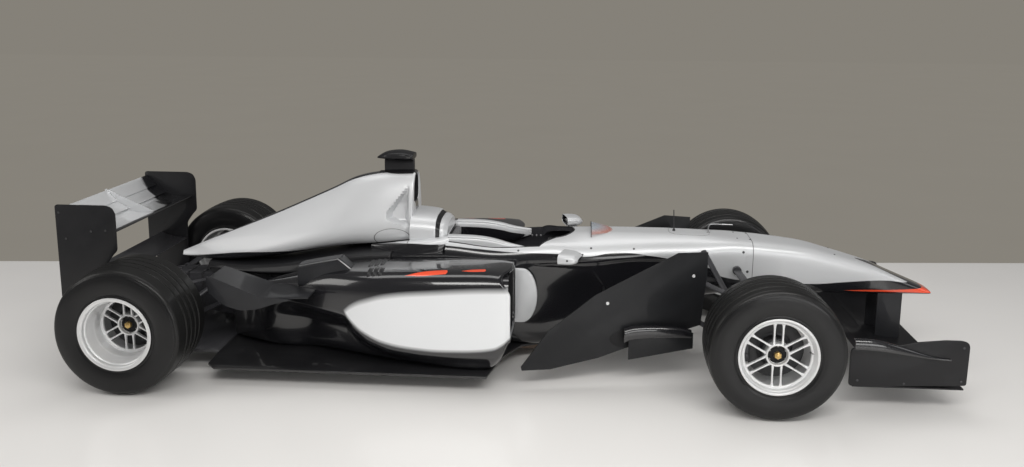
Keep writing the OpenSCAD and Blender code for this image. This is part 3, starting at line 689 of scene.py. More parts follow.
def screw(spot, normal, radius=0.005, height=0.002, slot_depth=0.5):
    """A countersunk fastener with a round socket, flush on a skin."""
    bm = bmesh.new()
    bmesh.ops.create_circle(bm, cap_ends=True, segments=20, radius=radius)
    ring = bmesh.ops.extrude_face_region(bm, geom=bm.faces[:])
    top = [g for g in ring["geom"] if isinstance(g, bmesh.types.BMFace)]
    bmesh.ops.translate(bm, verts=top[0].verts, vec=(0, 0, height))
    for inset, depth in ((0.12, height * 0.25), (0.4, 0), (0.03, -height * slot_depth)):
        bmesh.ops.inset_region(bm, faces=top, thickness=radius * inset, depth=depth)
    spot = Vector(spot) - Vector(normal) * height * 0.4
    return moved(outward(bm), Matrix.Translation(spot) @ facing(Vector(normal)))


# ---- Camera, light and floor ----

YAW, PITCH, ROLL = -0.0773, 0.1797, -0.0057
EYE = (0.4232, -4.9586, 1.9084)
LENS_MM, LENS_SHIFT = 31.85, -0.0586

away = Vector((math.sin(YAW) * math.cos(PITCH), math.cos(YAW) * math.cos(PITCH), -math.sin(PITCH)))
level_right = Vector((math.cos(YAW), -math.sin(YAW), 0))
level_down = away.cross(level_right)
right = level_right * math.cos(ROLL) + level_down * math.sin(ROLL)
down = level_down * math.cos(ROLL) - level_right * math.sin(ROLL)
eye = bpy.data.cameras.new("camera")
eye.lens = LENS_MM
eye.shift_y = LENS_SHIFT
camera = bpy.data.objects.new("camera", eye)
place = Matrix((right, -down, -away)).transposed().to_4x4()
place.translation = EYE
camera.matrix_world = place
bpy.context.scene.collection.objects.link(camera)
bpy.context.scene.camera = camera
bpy.context.scene.view_settings.view_transform = "Standard"


def lamp(name, spot, target, size, power, tint):
    """A rectangular lamp at spot that shines at target."""
    light = bpy.data.lights.new(name, "AREA")
    light.shape = "RECTANGLE"
    light.size, light.size_y = size
    light.energy = power
    light.color = tint
    obj = bpy.data.objects.new(name, light)
    aim = (Vector(target) - Vector(spot)).to_track_quat("-Z", "Y").to_matrix().to_4x4()
    obj.matrix_world = Matrix.Translation(spot) @ aim
    bpy.context.scene.collection.objects.link(obj)


lamp("key", (1.0, -3.9, 3.9), (0, 0, 0.4), (5.5, 1.0), 140, (1, 0.985, 0.96))
lamp("overhead", (-0.6, 0.6, 4.8), (-0.3, 0, 0.4), (6.5, 1.4), 65, (1, 0.99, 0.975))
lamp("tail_fill", (-5.4, -2.2, 2.6), (-1, 0, 0.5), (2.2, 2.2), 40, (1, 0.98, 0.95))
lamp("nose_fill", (5.6, -1.2, 2.4), (1, 0, 0.4), (2.2, 2.0), 20, (1, 1, 1))
lamp("low_fill", (2.9, -4.7, 1.2), (1.3, 0, 0.5), (3.2, 1.2), 42, (1, 0.995, 0.985))

WALL = (0.235, 0.219, 0.19)
WALL_Y = 1.74  # where the pale floor ends
HALL = (0.6, 0.59, 0.58)
HALL_LIGHT = 0.78
LESS_IN_GLOSS = -0.57
FLOOR_HALF, FLOOR_DROP = 30, -0.0005

world = bpy.data.worlds.new("world")
bpy.context.scene.world = world
room = Graph(world)
hall_light = room.rays("Is Glossy Ray") * LESS_IN_GLOSS + HALL_LIGHT
hall = room.node("ShaderNodeBackground", sockets={"Color": HALL, "Strength": hall_light}).outputs[0]
wall = room.node("ShaderNodeBackground", sockets={"Color": WALL}).outputs[0]
seen = room.rays("Is Camera Ray", "Is Transmission Ray")
choice = room.node("ShaderNodeMixShader", sockets={0: seen, 1: hall, 2: wall}).outputs[0]
room.node("ShaderNodeOutputWorld", sockets={0: choice})


def ground_finish():
    """Pale glossy floor that changes to a plain grey beyond the car."""
    f = Finish("stage_floor")
    cloud = f.noise(0.9, 3.0)
    beyond = (f.y - f.x * 0.091).above(WALL_Y, 0.02)
    pale = f.mix(cloud, (0.76, 0.75, 0.735), (0.82, 0.81, 0.795))
    f.set(Base_Color=f.mix(beyond, pale, WALL), Roughness=cloud * 0.06 + beyond * 0.6 + 0.2)
    shows = beyond * f.rays("Is Camera Ray", "Is Glossy Ray", "Is Transmission Ray")
    glow = f.node("ShaderNodeEmission", sockets={"Color": f.mix(cloud, WALL, times(WALL, 1.04))}).outputs[0]
    blend = f.node("ShaderNodeMixShader", sockets={0: shows, 1: f.shader.outputs[0], 2: glow})
    f.plug(f.output.inputs[0], blend.outputs[0])
    return f.material


ground = bmesh.new()
bmesh.ops.create_grid(ground, x_segments=1, y_segments=1, size=FLOOR_HALF)
bmesh.ops.translate(ground, verts=ground.verts, vec=(0, 0, FLOOR_DROP))
solid("stage_floor", ground, finishes=[ground_finish()])

# ---- Finishes of this car ----


def silver_edge(f):
    """Height of the line under the silver along the tub and the nose."""
    return f.line([
        (-1950, 651), (-1741, 650), (-1613, 642), (-1510, 632), (-1300, 618), (-1105, 616),
        (-1030, 613), (-912, 600), (-724, 621), (-547, 606), (-470, 594), (-227, 537), (-150, 487),
        (50, 462), (328, 456), (475, 466), (621, 476), (709, 478), (787, 470), (830, 464), (860, 463),
        (990, 430),
    ])


def body_black(f):
    """Black under the silver's edge, and a black wedge on top of the nose's front."""
    wedge = f.line([(560, 0), (600, 18), (640, 36), (700, 54), (800, 66), (990, 85)])
    top = (wedge - f.y.size()).above(0, 0.002) * f.x.above(ahead(580), 0.01)
    under = (silver_edge(f) - f.z).above(0, 0.003)
    return either(top, under)


def nose_stripe(f):
    """Plain stripe low on both sides of the nose that widens to its tip."""
    half = f.line([(500, 0), (580, 4), (800, 7.5), (950, 14), (990, 20)])
    band = (half - (f.z - 0.419).size()).above(0, 0.0015)
    return band * f.x.above(ahead(500), 0.003)


def nose_seam(f):
    """A fine joint line round the nose over the front axle."""
    return (f.x - ahead(-0.04)).size().below(0.0016, 0.0008)


def cover_black(f):
    """Black under the silver of the engine cover, and along its spine."""
    low = f.line([
        (-3250, 484), (-3105, 502), (-2980, 520), (-2854, 538), (-2659, 556),
        (-2472, 574), (-2230, 610), (-2047, 632), (-1850, 651), (-1740, 650),
    ])
    ridge = f.line([(-3200, 0), (-3000, 10), (-2700, 20), (-2300, 30), (-2120, 40), (-1860, 44)])
    spine = (ridge - f.y.size()).above(0.002, 0.005) * f.z.above(0.6)
    return either((low - f.z).above(0, 0.003), spine)


def collar_black(f):
    """Black on the collar's inner side, under its silver top."""
    edge = f.line([(-1650, 655), (-1500, 652), (-1400, 640), (-1310, 620), (-1210, 607)])
    return (edge - f.z).above(0, 0.003) * f.y.size().below(0.192, 0.004)


def cover_hatch(f):
    """Outline of a round access hatch low on each side of the cover."""
    u = (f.x - ahead(-1965)) / 0.098
    v = (f.z - 0.66) / 0.052
    return ((u * u + v * v).root() - 1).size().below(0.022, 0.01)


def pod_panel(f):
    """Pale teardrop panel on the outside of each sidepod."""
    top = f.line([
        (-2150, 360), (-2133, 385), (-2067, 439), (-2000, 467), (-1879, 501),
        (-1656, 527), (-1469, 541), (-1275, 548),
    ])
    low = f.line([
        (-2150, 410), (-2133, 385), (-2080, 323), (-2005, 272), (-1884, 231),
        (-1724, 213), (-1587, 210), (-1364, 226), (-1319, 243), (-1275, 275),
    ])
    inside = (top - f.z).above(0.012, 0.034) * (f.z - low).above(0.007, 0.022)
    return inside * f.y.size().above(pod_out - 0.16, 0.02) * f.x.above(ahead(-2140), 0.004)


def pod_stripes(f):
    """Two plain straight stripes on top of each sidepod, tapered to the rear."""
    wide = f.line([
        (-1810, 0), (-1800, 2), (-1600, 22), (-1590, 0), (-1530, 0), (-1520, 2),
        (-1410, 18), (-1400, 0),
    ])
    off = (f.y.size() + (f.x - ahead(-1600)) * 0.12 - 0.6).size()
    return (wide - off).above(0.001, 0.001) * f.z.above(0.5)


silver_body = lacquer("silver_body", black=body_black, accent=nose_stripe, seam=nose_seam)
silver_cover = lacquer("silver_cover", black=cover_black, seam=cover_hatch)
silver_plain = lacquer("silver_plain")
collar_lacquer = lacquer("collar_lacquer", black=collar_black)
pod_lacquer = lacquer("pod_lacquer", lambda f: 1 - pod_panel(f), pod_panel, pod_stripes)
gloss_black = plain_black("gloss_black")
satin_black = plain_black("satin_black", (0.008, 0.008, 0.0095), 0.38, 0.2)
board_grey = plain_black("board_grey", (0.016, 0.0165, 0.019), 0.38, 0.2)
board_black = plain_black("board_black", (0.009, 0.0095, 0.011), 0.4, 0.15)
duct_black = plain_black("duct_black", (0.008, 0.008, 0.009), 0.55, 0.0, 300)
twill = carbon("carbon_twill")
matt_twill = carbon("matt_twill", 0.1)
magnesium = metal("magnesium", (0.8, 0.805, 0.81), 0.36, metallic=0.55)
machined = metal("machined_metal", (0.34, 0.345, 0.35), 0.36)
steel = metal("ground_steel", (0.42, 0.42, 0.425), 0.26, brushed=True)
brass = metal("brass_nut", (0.72, 0.5, 0.2), 0.3)
dark_metal = metal("dark_metal", (0.1, 0.1, 0.105), 0.45)
disc_carbon = plain_black("disc_carbon", (0.05, 0.05, 0.052), 0.5, 0.0, 180)
front_rubber = rubber("front_rubber", front_axle)
rear_rubber = rubber("rear_rubber", rear_axle)
belt_web = cloth("belt_web", (0.03, 0.032, 0.04), 0.0016)
seat_cloth = cloth("seat_cloth", (0.018, 0.018, 0.02), 0.0011)
suede = cloth("grip_suede", (0.016, 0.016, 0.017), 0.0006)
foam_cover = cloth("foam_cover", (0.05, 0.05, 0.055), 0.0009)
black_plastic = moulded("black_plastic", (0.02, 0.02, 0.022))
grey_plastic = moulded("grey_plastic", (0.2, 0.2, 0.21))
red_plastic = moulded("red_plastic", (0.6, 0.03, 0.02), 0.35)
blue_plastic = moulded("blue_plastic", (0.03, 0.12, 0.5), 0.35)
yellow_plastic = moulded("yellow_plastic", (0.75, 0.5, 0.03), 0.35)
mirror_glass = metal("mirror_glass", (0.72, 0.74, 0.76), 0.06, metallic=1.0)
screen_clear = clear_screen()
plank = plank_wood()
lens = lamp_lens()
core = radiator_fins()

# ---- Tub, nose and collar ----

TUB = [
    (-40, 150, 165, 392, 680, 5, 0), (-300, 165, 190, 355, 697, 5, 0), (-600, 190, 215, 270, 700, 5, 0),
    (-900, 225, 242, 150, 696, 5, 0), (-1150, 260, 260, 80, 671, 6, 0), (-1400, 268, 264, 94, 655, 6, 0),
    (-1660, 272, 266, 94, 681, 6, 0), (-1950, 276, 268, 94, 681, 6, 0),
]
TUB_INSIDE = [
    (-420, 130, 150, 390, 660, 5, 0), (-700, 170, 190, 300, 664, 5, 0), (-950, 205, 215, 190, 666, 5, 0),
    (-1200, 232, 232, 124, 635, 6, 0), (-1450, 240, 236, 124, 631, 6, 0), (-1630, 240, 240, 124, 643, 6, 0),
]
NOSE = [
    (980, 55, 52, 394, 404, 2.6, 0), (950, 80, 75, 392, 424, 3, 0), (772, 106, 102, 392, 498, 4, 0),
    (640, 116, 116, 392, 551, 4.4, 0), (420, 130, 136, 392, 614, 4.8, 0), (280, 138, 148, 392, 648, 5, 0),
    (80, 146, 160, 392, 671, 5, 0), (-40, 150, 165, 392, 680, 5, 0),
]


def shoulder_tuck(point):
    """The side under the shoulder crease draws in, most of all ahead of the sidepods."""
    s, z = (point.x - front_axle) / MM, point.z / MM
    crease = 540 + 30 * ease(s, -900, -600)
    fade = ease(s, -1290, -1180) * (1 - ease(s, -520, -330))
    drawn = 0.014 * fade * (1 - ease(z, crease, crease + 32)) * ease(z, 230, 420)
    crown = ease(abs(point.y), 0.05, 0.2) * ease(z, 560, 670)
    point.y -= math.copysign(min(drawn, abs(point.y)), point.y)
    point.z -= 0.028 * crown * ease(s, -1130, -880) * (1 - ease(s, -330, -70))
    return point


def cockpit_outline(grow=0.0):
    """The cockpit opening's plan: a round front end and a square rear end."""
    r, half, rear = 130 + grow, 218 + grow, -1655 - grow
    turns = [math.radians(a) for a in range(-75, 76, 5)]
    arc = [(-1095 + r * math.cos(a), r * math.sin(a)) for a in turns]
    return [*arc, (-1150, half), (rear, half), (rear, -half), (-1150, -half)]


tub = solid("tub", loft(TUB, 200, 14, reshape=shoulder_tuck), finishes=[silver_body])
opening = plate([(ahead(s), y * MM) for s, y in cockpit_outline()], 0.3, 0.0001, 0.565, True)
rear_gap = box((ahead(-2000), -0.4, deck), (ahead(-1658), 0.4, SKY), 0.0001)
carve(tub, (loft(TUB_INSIDE, 120, 6), matt_twill), (opening, matt_twill), (rear_gap, gloss_black))
tub_tree = surface(piece("tub_skin", tub, node="monocoque"))
nose_tree = surface(piece("nose_skin", [body(NOSE, 200, 14, 0.004, 4)], silver_body, node="nose_cone"))

# Tapered collar along each side of the cockpit, silver on top and black on its inner side.
COLLAR = [
    (-1215, 10, 8, 605, 637, 4, 211), (-1310, 22, 20, 579, 653, 4, 199), (-1400, 28, 26, 567, 675, 4, 193),
    (-1500, 31, 29, 561, 687, 4, 190), (-1648, 34, 32, 557, 689, 4, 187),
]


def held_in(point):
    """The collar stays just inside the opening's side."""
    point.y = min(point.y, 0.2177)
    return point


pad_rows = [(s, w * 0.84, h * 0.84, top - 12, top + 4, 3, c - 1) for s, w, h, _, top, _, c in COLLAR]
collar = [body(COLLAR, 96, 12, 0.002, 2, held_in), painted(body(pad_rows, 64, 12, 0.002, 2, held_in), 1)]
for s, z in ((-1590, 640), (-1400, 625), (-1245, 625)):
    y = (199 - 33 * ease(-s, 1215, 1450)) * MM
    collar.append(painted(screw((ahead(s), y, z * MM), (0, -1, 0), 0.0065), 2))
piece("cockpit_collar_skin", both(*collar), collar_lacquer, silver_plain, dark_metal, node="cockpit_collar")

# Fairing behind the driver's head: a step, a dark rubber band and a wider step.
FRONT_STEP = [
    (-1658, 172, 150, 600, 738, 3, 0), (-1686, 190, 165, 600, 757, 3, 0), (-1722, 190, 165, 600, 757, 3, 0),
]
REAR_STEP = [
    (-1722, 196, 172, 600, 776, 3, 0), (-1730, 200, 176, 600, 782, 3, 0), (-1800, 206, 180, 600, 792, 3, 0),
    (-1862, 210, 182, 600, 796, 3, 0),
]
BAND = [
    (-1700, 191, 167, 599, 760, 3, 0), (-1722.5, 196, 172, 599, 774, 3, 0),
    (-1728, 198.5, 174.5, 599, 779, 3, 0),
]
LEDGE = [
    (-1640, 36, 33, 560, 686, 4, 188), (-1700, 50, 40, 560, 677, 4, 203), (-1790, 55, 42, 560, 665, 4, 208),
    (-1895, 50, 32, 560, 652, 4, 205), (-2010, 26, 14, 590, 636, 3, 193), (-2080, 8, 5, 600, 626, 3, 180),
]
piece("headrest_fairing_skin", [
    body(FRONT_STEP, 160, 10, 0.004, 4), body(REAR_STEP, 160, 10, 0.006, 4),
    painted(body(BAND, 160, 4, 0.003), 1), *both(painted(body(LEDGE, 96, 10, 0.003), 2)),
], silver_plain, satin_black, silver_cover, node="headrest_fairing")

# Engine cover, its airbox mouth and the low deck beside it.
COVER = [
    (-3232, 20, 8, 486, 514, 3, 0), (-3000, 96, 18, 476, 614, 3, 0), (-2685, 180, 28, 512, 748, 3, 0),
    (-2350, 232, 46, 578, 899, 3, 0), (-2190, 232, 64, 596, 975, 3, 0), (-2030, 214, 87, 600, 1007, 3.2, 0),
    (-1862, 176, 101, 600, 1011, 3.4, 0),
]
AIRBOX = [(-1860, 86, 76, 842, 999, 3, 0), (-2000, 78, 66, 838, 991, 3, 0), (-2120, 60, 46, 838, 977, 3, 0)]
DECK = [
    (-1951, 300, 290, 540, 611, 5, 0), (-2150, 300, 280, 520, 596, 5, 0), (-2350, 280, 250, 480, 560, 5, 0),
    (-2600, 235, 200, 446, 510, 5, 0), (-2850, 180, 150, 442, 482, 5, 0), (-3050, 110, 80, 442, 478, 5, 0),
]


def pillar_scallop(point):
    """A hollow pressed into each side under the airbox, behind its front pillar."""
    s, z = (point.x - front_axle) / MM, point.z / MM
    half = max(1, 58 * min(1, (945 - z) / 150) * ease(z, 712, 770))
    near = 1 - ease(abs(s + 1878 + half) / half, 0.62, 1.08)
    drawn = min(abs(point.y), 0.05 * near * min(1, half / 40))
    if abs(point.y) > 0.06:
        point.y -= math.copysign(drawn, point.y)
    return point


cover = lipped(COVER, AIRBOX, 0.01, 200, 16, pillar_scallop)
piece("engine_cover_skin", [cover, painted(body(DECK, 160, 8, 0.006), 2)], silver_cover, duct_black,
      satin_black, node="engine_cover")

# Camera housing over the airbox.
STEM = [
    (-1865, 20, 16, 1003, 1082, 3, 0), (-1930, 24, 20, 1003, 1082, 3, 0), (-2034, 10, 8, 1000, 1082, 3, 0),
]
CAP = [
    (-1864, 66, 58, 1079, 1112, 3, 0), (-1940, 74, 66, 1078.5, 1126, 3, 0),
    (-2020, 60, 50, 1078.5, 1118, 3, 0), (-2072, 20, 16, 1080, 1090, 3, 0),
]
FOOT = [
    (-1862, 60, 46, 1000, 1014, 2.4, 0), (-1950, 66, 50, 998, 1012, 2.4, 0),
    (-2060, 30, 22, 996, 1008, 2.4, 0),
]
WINDOW = [(-1878, 1.09), (-1878, 1.106), (-1905, 1.112), (-1905, 1.09)]
window = plate([(ahead(s), z) for s, z in WINDOW], 0.002, 0.0005, 0.0655)
piece("camera_pod_skin", [
    body(STEM, 96, 8, 0.004), body(CAP, 120, 10, 0.006, 4), body(FOOT, 96, 8, 0.004),
    *both(painted(window, 1)),
], satin_black, gloss_black, node="camera_pod")

# ---- Sidepods, chimneys and flick-ups ----

POD = [
    (-2850, 30, 24, 94, 320, 4, 208), (-2750, 70, 50, 94, 400, 4, 240),
    (-2500, 128, 100, 94, 480, 4.2, 322), (-2250, 176, 150, 94, 555, 4.6, 398),
    (-2000, 206, 190, 94, 588, 5, 450), (-1700, 216, 205, 94, 606, 5, 472),
    (-1385, 210, 200, 94, 612, 5, 482), (-1280, 188, 186, 240, 606, 5, 492),
]
POD_DUCT = [
    (-1282, 158, 158, 262, 584, 5, 492), (-1420, 156, 150, 180, 586, 5, 482),
    (-1640, 150, 140, 130, 580, 5, 472),
]
POD_LOW = [
    (-2900, 420), (-2133, 385), (-2080, 323), (-2005, 272), (-1884, 231), (-1724, 213), (-1587, 208),
    (-1200, 205),
]


def pod_low(s):
    """Height of the line along which the sidepod's side starts to tuck in."""
    for (a, low), (b, high) in zip(POD_LOW, POD_LOW[1:]):
        if a <= s <= b:
            return low + (high - low) * (s - a) / (b - a)
    return POD_LOW[-1][1]


def pod_tuck(point):
    """The side draws in under its low line, and the inlet's outer edge leans back."""
    s, z = (point.x - front_axle) / MM, point.z / MM
    line = pod_low(s) - 12
    out = ease(point.y, 0.3, 0.52)
    rearward = 1 - ease(s, -2150, -1500)
    drawn = (0.028 + 0.085 * rearward) * out * (1 - ease(z, line - 60 - 60 * rearward, line))
    point.y -= drawn * ease(s, -2700, -2350) * (1 - ease(s, -1420, -1300))
    point.x -= 0.055 * ease(z, 500, 600) * ease(point.y, 0.47, 0.67) * ease(s, -1600, -1300)
    return point


pods = both(lipped(POD, POD_DUCT, 0.012, 220, 14, pod_tuck))
for side, shape in zip(("left", "right"), pods):
    piece(f"sidepod_{side}_skin", [shape], pod_lacquer, duct_black, node=f"sidepod_{side}")
pod_tree = surface(bpy.data.objects["sidepod_left_skin"])

# Radiator across each duct, and a curved splitter on the duct's inner side.
piece("radiators", both(box((ahead(-1640), 0.33, 0.14), (ahead(-1600), 0.615, 0.58), 0.003)), core)
arc = [(ahead(-1305), 0.545)]
for k in range(90, -91, -10):
    a = math.radians(k)
    arc.append((ahead(-1235) + 0.082 * math.cos(a), 0.395 + 0.15 * math.sin(a)))
arc.append((ahead(-1305), 0.245))
piece("inlet_cheeks", both(plate(arc, 0.024, 0.008, 0.283)), silver_plain, slot="silver_paint")

CHIMNEY = [
    (-2030, 44, 40, 480, 512, 5, 464), (-2100, 56, 50, 478, 566, 6, 458), (-2166, 62, 54, 474, 624, 7, 452),
    (-2182, 63, 55, 474, 629, 7, 450), (-2300, 67, 58, 468, 603, 7, 432), (-2402, 66, 57, 464, 578, 7, 415),
]
BORE = [
    (-2401, 58, 50, 474, 568, 6, 412), (-2340, 58, 50, 500, 584, 6, 425), (-2190, 50, 44, 560, 614, 6, 446),
]
# A bright metal cord along each chimney's top and front edge: a painted highlight for the shine on that rounded
# edge.
CHIMNEY_HIGHLIGHT = [
    (-2398, 468, 574), (-2300, 486, 599), (-2190, 502, 625), (-2176, 503, 625), (-2100, 506, 566),
    (-2040, 506, 516),
]
chimney_highlight = tube([(ahead(s), y * MM, z * MM) for s, y, z in CHIMNEY_HIGHLIGHT], 0.0035)
piece("chimney_skins", both(lipped(CHIMNEY, BORE, -0.004, 120, 12), painted(chimney_highlight, 2)), board_grey,
      duct_black, machined, node="chimneys")

# ---- Mirrors ----

MIRROR = [
    (-926, 46, 46, 640, 654, 2.6, 430), (-942, 68, 64, 627, 670, 3, 430),
    (-975, 76, 72, 622, 676, 3.6, 430), (-1024, 78, 74, 620, 678, 3.8, 430),
]
MIRROR_CUP = [(-1023, 72, 68, 625, 673, 3.8, 430), (-1004, 70, 66, 627, 671, 3.8, 430)]
mirror_body = lipped(MIRROR, MIRROR_CUP, -0.003, 120, 12)
glass = loft([(-1005, 69, 65, 628, 670, 3.8, 430), (-1010, 69, 65, 628, 670, 3.8, 430)], 96, 2)
bracket = bmesh.new()
bmesh.ops.create_cube(bracket, size=1)
for vert in bracket.verts:
    near = vert.co.y < 0
    half, z, y, thick = (35, 606, 213, 12) if near else (25, 636, 372, 9)
    s = (-940 if near else -985) + math.copysign(half, vert.co.x)
    vert.co = Vector((ahead(s), y * MM, (z + math.copysign(thick / 2, vert.co.z)) * MM))
soften(bracket, 0.003, 3)
mirror_dot = screw((ahead(-975), 0.505, 0.65), (0, 1, 0), 0.005)
turn = turned_about((ahead(-975), 0.43, 0.65), "Z", 15)
mirror = [moved(shape, turn) for shape in (mirror_body, painted(glass, 2), painted(mirror_dot, 4))]
piece("mirror_pods", both(*mirror, painted(bracket, 3)), silver_plain, gloss_black, mirror_glass,
      satin_black, dark_metal, node="mirrors")

# ---- Windscreen ----

SCREEN = [
    (-725, 60, 50, 600, 690, 3, 0), (-790, 116, 96, 600, 712, 3.3, 0), (-874, 150, 122, 600, 728, 3.4, 0),
]
UNDER_SCREEN = [(s, w - 1, h - 1, low, high - 0.5, n, c) for s, w, h, low, high, n, c in TUB[2:5]]
screen = solid("screen", loft(SCREEN, 140, 12), finishes=[screen_clear])
screen_end = box((ahead(-900), -0.3, 0.5), (ahead(-870), 0.3, SKY), 0.0001)
cuts = (loft(SCREEN, 140, 12, -3), screen_end, loft(UNDER_SCREEN, 160, 10))
carve(screen, *((cut, screen_clear) for cut in cuts))
piece("windscreen_shell", screen, node="windscreen")
hoop = []
for k in range(0, 181, 9):
    point = round_point((-870, 149, 121, 600, 726.5, 3.4, 0), k / 360)
    if point.z > drop(tub_tree, (point.x, point.y, SKY))[0].z:
        hoop.append(point)
piece("windscreen_edge", [tube(hoop, 0.0022, smooth=False)], black_plastic)

# ---- Wheels ----

SIDES = ((1, "left"), (-1, "right"))
SPOKE_PAIRS = 6
LIP_R = 188
GROOVES = (75, 25, -25, -75)
GROOVE_DEEP = 7.5
REAR_DISC_IN = 112  # a rear disc stands this much further in than a front one
DISC_MID = 132

# Rows of a radius and a depth in mm behind the wheel's face or its outer edge.
FRONT_THROAT = [
    (168, 52), (162, 36), (163, 30), (167, 22), (169, 16), (172, 14), (174, 6), (178, 1), (183, 0),
]
REAR_THROAT = [
    (150, 172), (142, 168), (143, 150), (146, 96), (148, 90), (151, 84), (158, 34), (161, 28), (165, 26),
    (166, 18), (166, 10), (170, 3), (183, 0),
]
SPOKE_RING = [(166, -3), (166, 20), (155, 17), (151, 9), (152, 1), (155, -3), (160, -4)]
HUB = [(57, 2), (55, -4), (52, -6), (48, -5), (46, 0), (46, 16), (24, 17), (24, 44), (54, 44), (57, 38)]
HUB_CAP = [(0.01, 3), (14, 4), (19, 9), (26, 15), (44, 16), (44, 18), (0.01, 18)]
NUT_TIP = [(0.01, 16), (6, 16), (9, 14), (10.5, 8), (10.5, 0), (0.01, 0)]
DISC = [(139, 118), (139, 146), (84, 146), (84, 118)]


def tyre_profile(width):
    """Section of a tyre from one bead over the tread to the other, as (radius, y) in mm."""
    half, r = width / 2, tyre_r / MM
    bead = ((-4.5, 16), (-3, 11), (3, 8.5), (9, 8), (12, 10))
    side = [(LIP_R + out, half - d) for out, d in bead]
    middle = (LIP_R + r) / 2 - 3
    for a in range(-62, 61, 4):
        y = half - 20 + 20 * math.cos(math.radians(a))
        ridge = 0.9 if a in (-46, 38, 46) else 0
        side.append((middle + 62 * math.sin(math.radians(a)), y + ridge))
    for a in range(24, 85, 6):
        side.append((r - 31 + 26 * math.sin(math.radians(a)), half - 39 + 26 * math.cos(math.radians(a))))
    tread = []
    y = half - 46
    deep = r - GROOVE_DEEP
    while y > -(half - 46) - 0.1:
        near = [g for g in GROOVES if abs(y - g) < 11]
        if near:
            g = near[0]
            wall = r - 5 * (g / (half - 44)) ** 2
            edge = [(wall, 8), (wall - 0.4, 7.3), (wall - 1.6, 6.9), (deep + 1.5, 6.2), (deep, 5)]
            tread += [(spot, g + d) for spot, d in edge] + [(spot, g - d) for spot, d in reversed(edge)]
            y = g - 12
        else:
            tread.append((r - 5 * (y / (half - 44)) ** 2, y))
            y -= 6
    return side + tread + [(a, -b) for a, b in reversed(side)]


def spoke(r_in, r_out):
    """One slim spoke, wider where it meets the hub and the barrel, standing at 12 o'clock."""
    edge = []
    steps = 16
    for k in range(steps + 1):
        t = k / steps
        edge.append((3.8 + 3.0 * (1 - t) ** 6 + 6.0 * t**9, r_in + (r_out - r_in) * t))
    outline = [(-half, r) for half, r in edge] + [(half, r) for half, r in reversed(edge)]
    return plate([(x * MM, r * MM) for x, r in outline], 0.015, 0.0022)


def wheel(end, side, lateral, axle, width, dish, rubber_finish):
    """Tyre, rim, twin spokes, hub, nut and disc of one wheel. side is 1 on the left."""
    outer = half_w / MM
    face = outer - dish
    front = end == "front"
    grow = 0 if front else -20

    def turned(rows, edge, behind=face, steps=160, segments=2, sharp=25):
        return soften(lathe([(r, behind - d) for r, d in rows], axle, steps), edge, segments, sharp)

    barrel = [
        (188, 2), (188, 5), (185, 10), (181, 13), (181, 30), (176, 38), (171, 44), (171, width - 46),
        (183, width - 34), (183, width - 14), (188, width - 8), (188, width), (176, width),
        (173, width - 38), (165, width - 54), *(FRONT_THROAT if front else REAR_THROAT),
    ]
    shapes = [
        turned(barrel, 0.0018, outer, 160, 3, 20), turned([(r + grow, d) for r, d in SPOKE_RING], 0.0015),
        turned(HUB, 0.0015), painted(turned(HUB_CAP, 0.001, steps=96), 1),
    ]
    for i in range(SPOKE_PAIRS):
        for offset in (-20, 20):
            arm = spoke(48, 154 + grow)
            bmesh.ops.translate(arm, verts=arm.verts, vec=(offset * MM, (face - 14) * MM, 0))
            moved(arm, Matrix.Rotation(math.radians(180 + 60 * i), 4, "Y"))
            shapes.append(moved(arm, Matrix.Translation((axle, 0, axle_z))))
    nut = bmesh.new()
    bmesh.ops.create_cone(nut, cap_ends=True, segments=6, radius1=0.019, radius2=0.017, depth=0.022)
    soften(nut, 0.0015)
    bmesh.ops.rotate(nut, verts=nut.verts, matrix=Matrix.Rotation(math.radians(-90), 3, "X"))
    bmesh.ops.translate(nut, verts=nut.verts, vec=(axle, face * MM, axle_z))
    tip = lathe([(r, face + d) for r, d in NUT_TIP], axle, 48)
    shapes += [painted(nut, 2), painted(tip, 2)]
    for k in range(6):
        a = math.radians(60 * k)
        x, z = axle + 0.0425 * math.sin(a), axle_z + 0.0425 * math.cos(a)
        shapes.append(painted(rod((x, (face - 16) * MM, z), (x, (face - 4) * MM, z), 0.0042, 16), 3))
    z = axle_z + 0.02
    valve = rod((axle + 0.146, (face - 2) * MM, z), (axle + 0.157, (face + 26) * MM, z), 0.0035, 12)
    disc = lathe([(r, outer - d) for r, d in DISC], axle, 128)
    mid = outer - DISC_MID
    if not front:
        bmesh.ops.translate(disc, verts=disc.verts, vec=(0, -REAR_DISC_IN * MM, 0))
        mid -= REAR_DISC_IN
    bell = lathe([
        (86, mid - 6), (86, mid + 6), (70, mid + 12), (66, face - 40), (60, face - 40), (62, mid + 6),
        (78, mid - 6),
    ], axle, 96)
    shapes += [painted(valve, 3), painted(soften(disc, 0.0015), 4), painted(soften(bell, 0.001), 5)]
    tyre = lathe([(r, y + outer - width / 2) for r, y in tyre_profile(width)], axle, 180)
    if side < 0:
        shapes = [mirrored(s) for s in shapes]
        tyre = mirrored(tyre)
    piece(f"{end}_wheel_{lateral}", shapes, magnesium, duct_black, brass, steel, disc_carbon, dark_metal,
          node=f"{end}_rim_{lateral}", sharp=35)
    piece(f"{end}_tyre_skin_{lateral}", [tyre], rubber_finish, node=f"{end}_tyre_{lateral}", sharp=40)


for side, lateral in SIDES:
    wheel("front", side, lateral, front_axle, 300, 34, front_rubber)
    wheel("rear", side, lateral, rear_axle, 365, 150, rear_rubber)


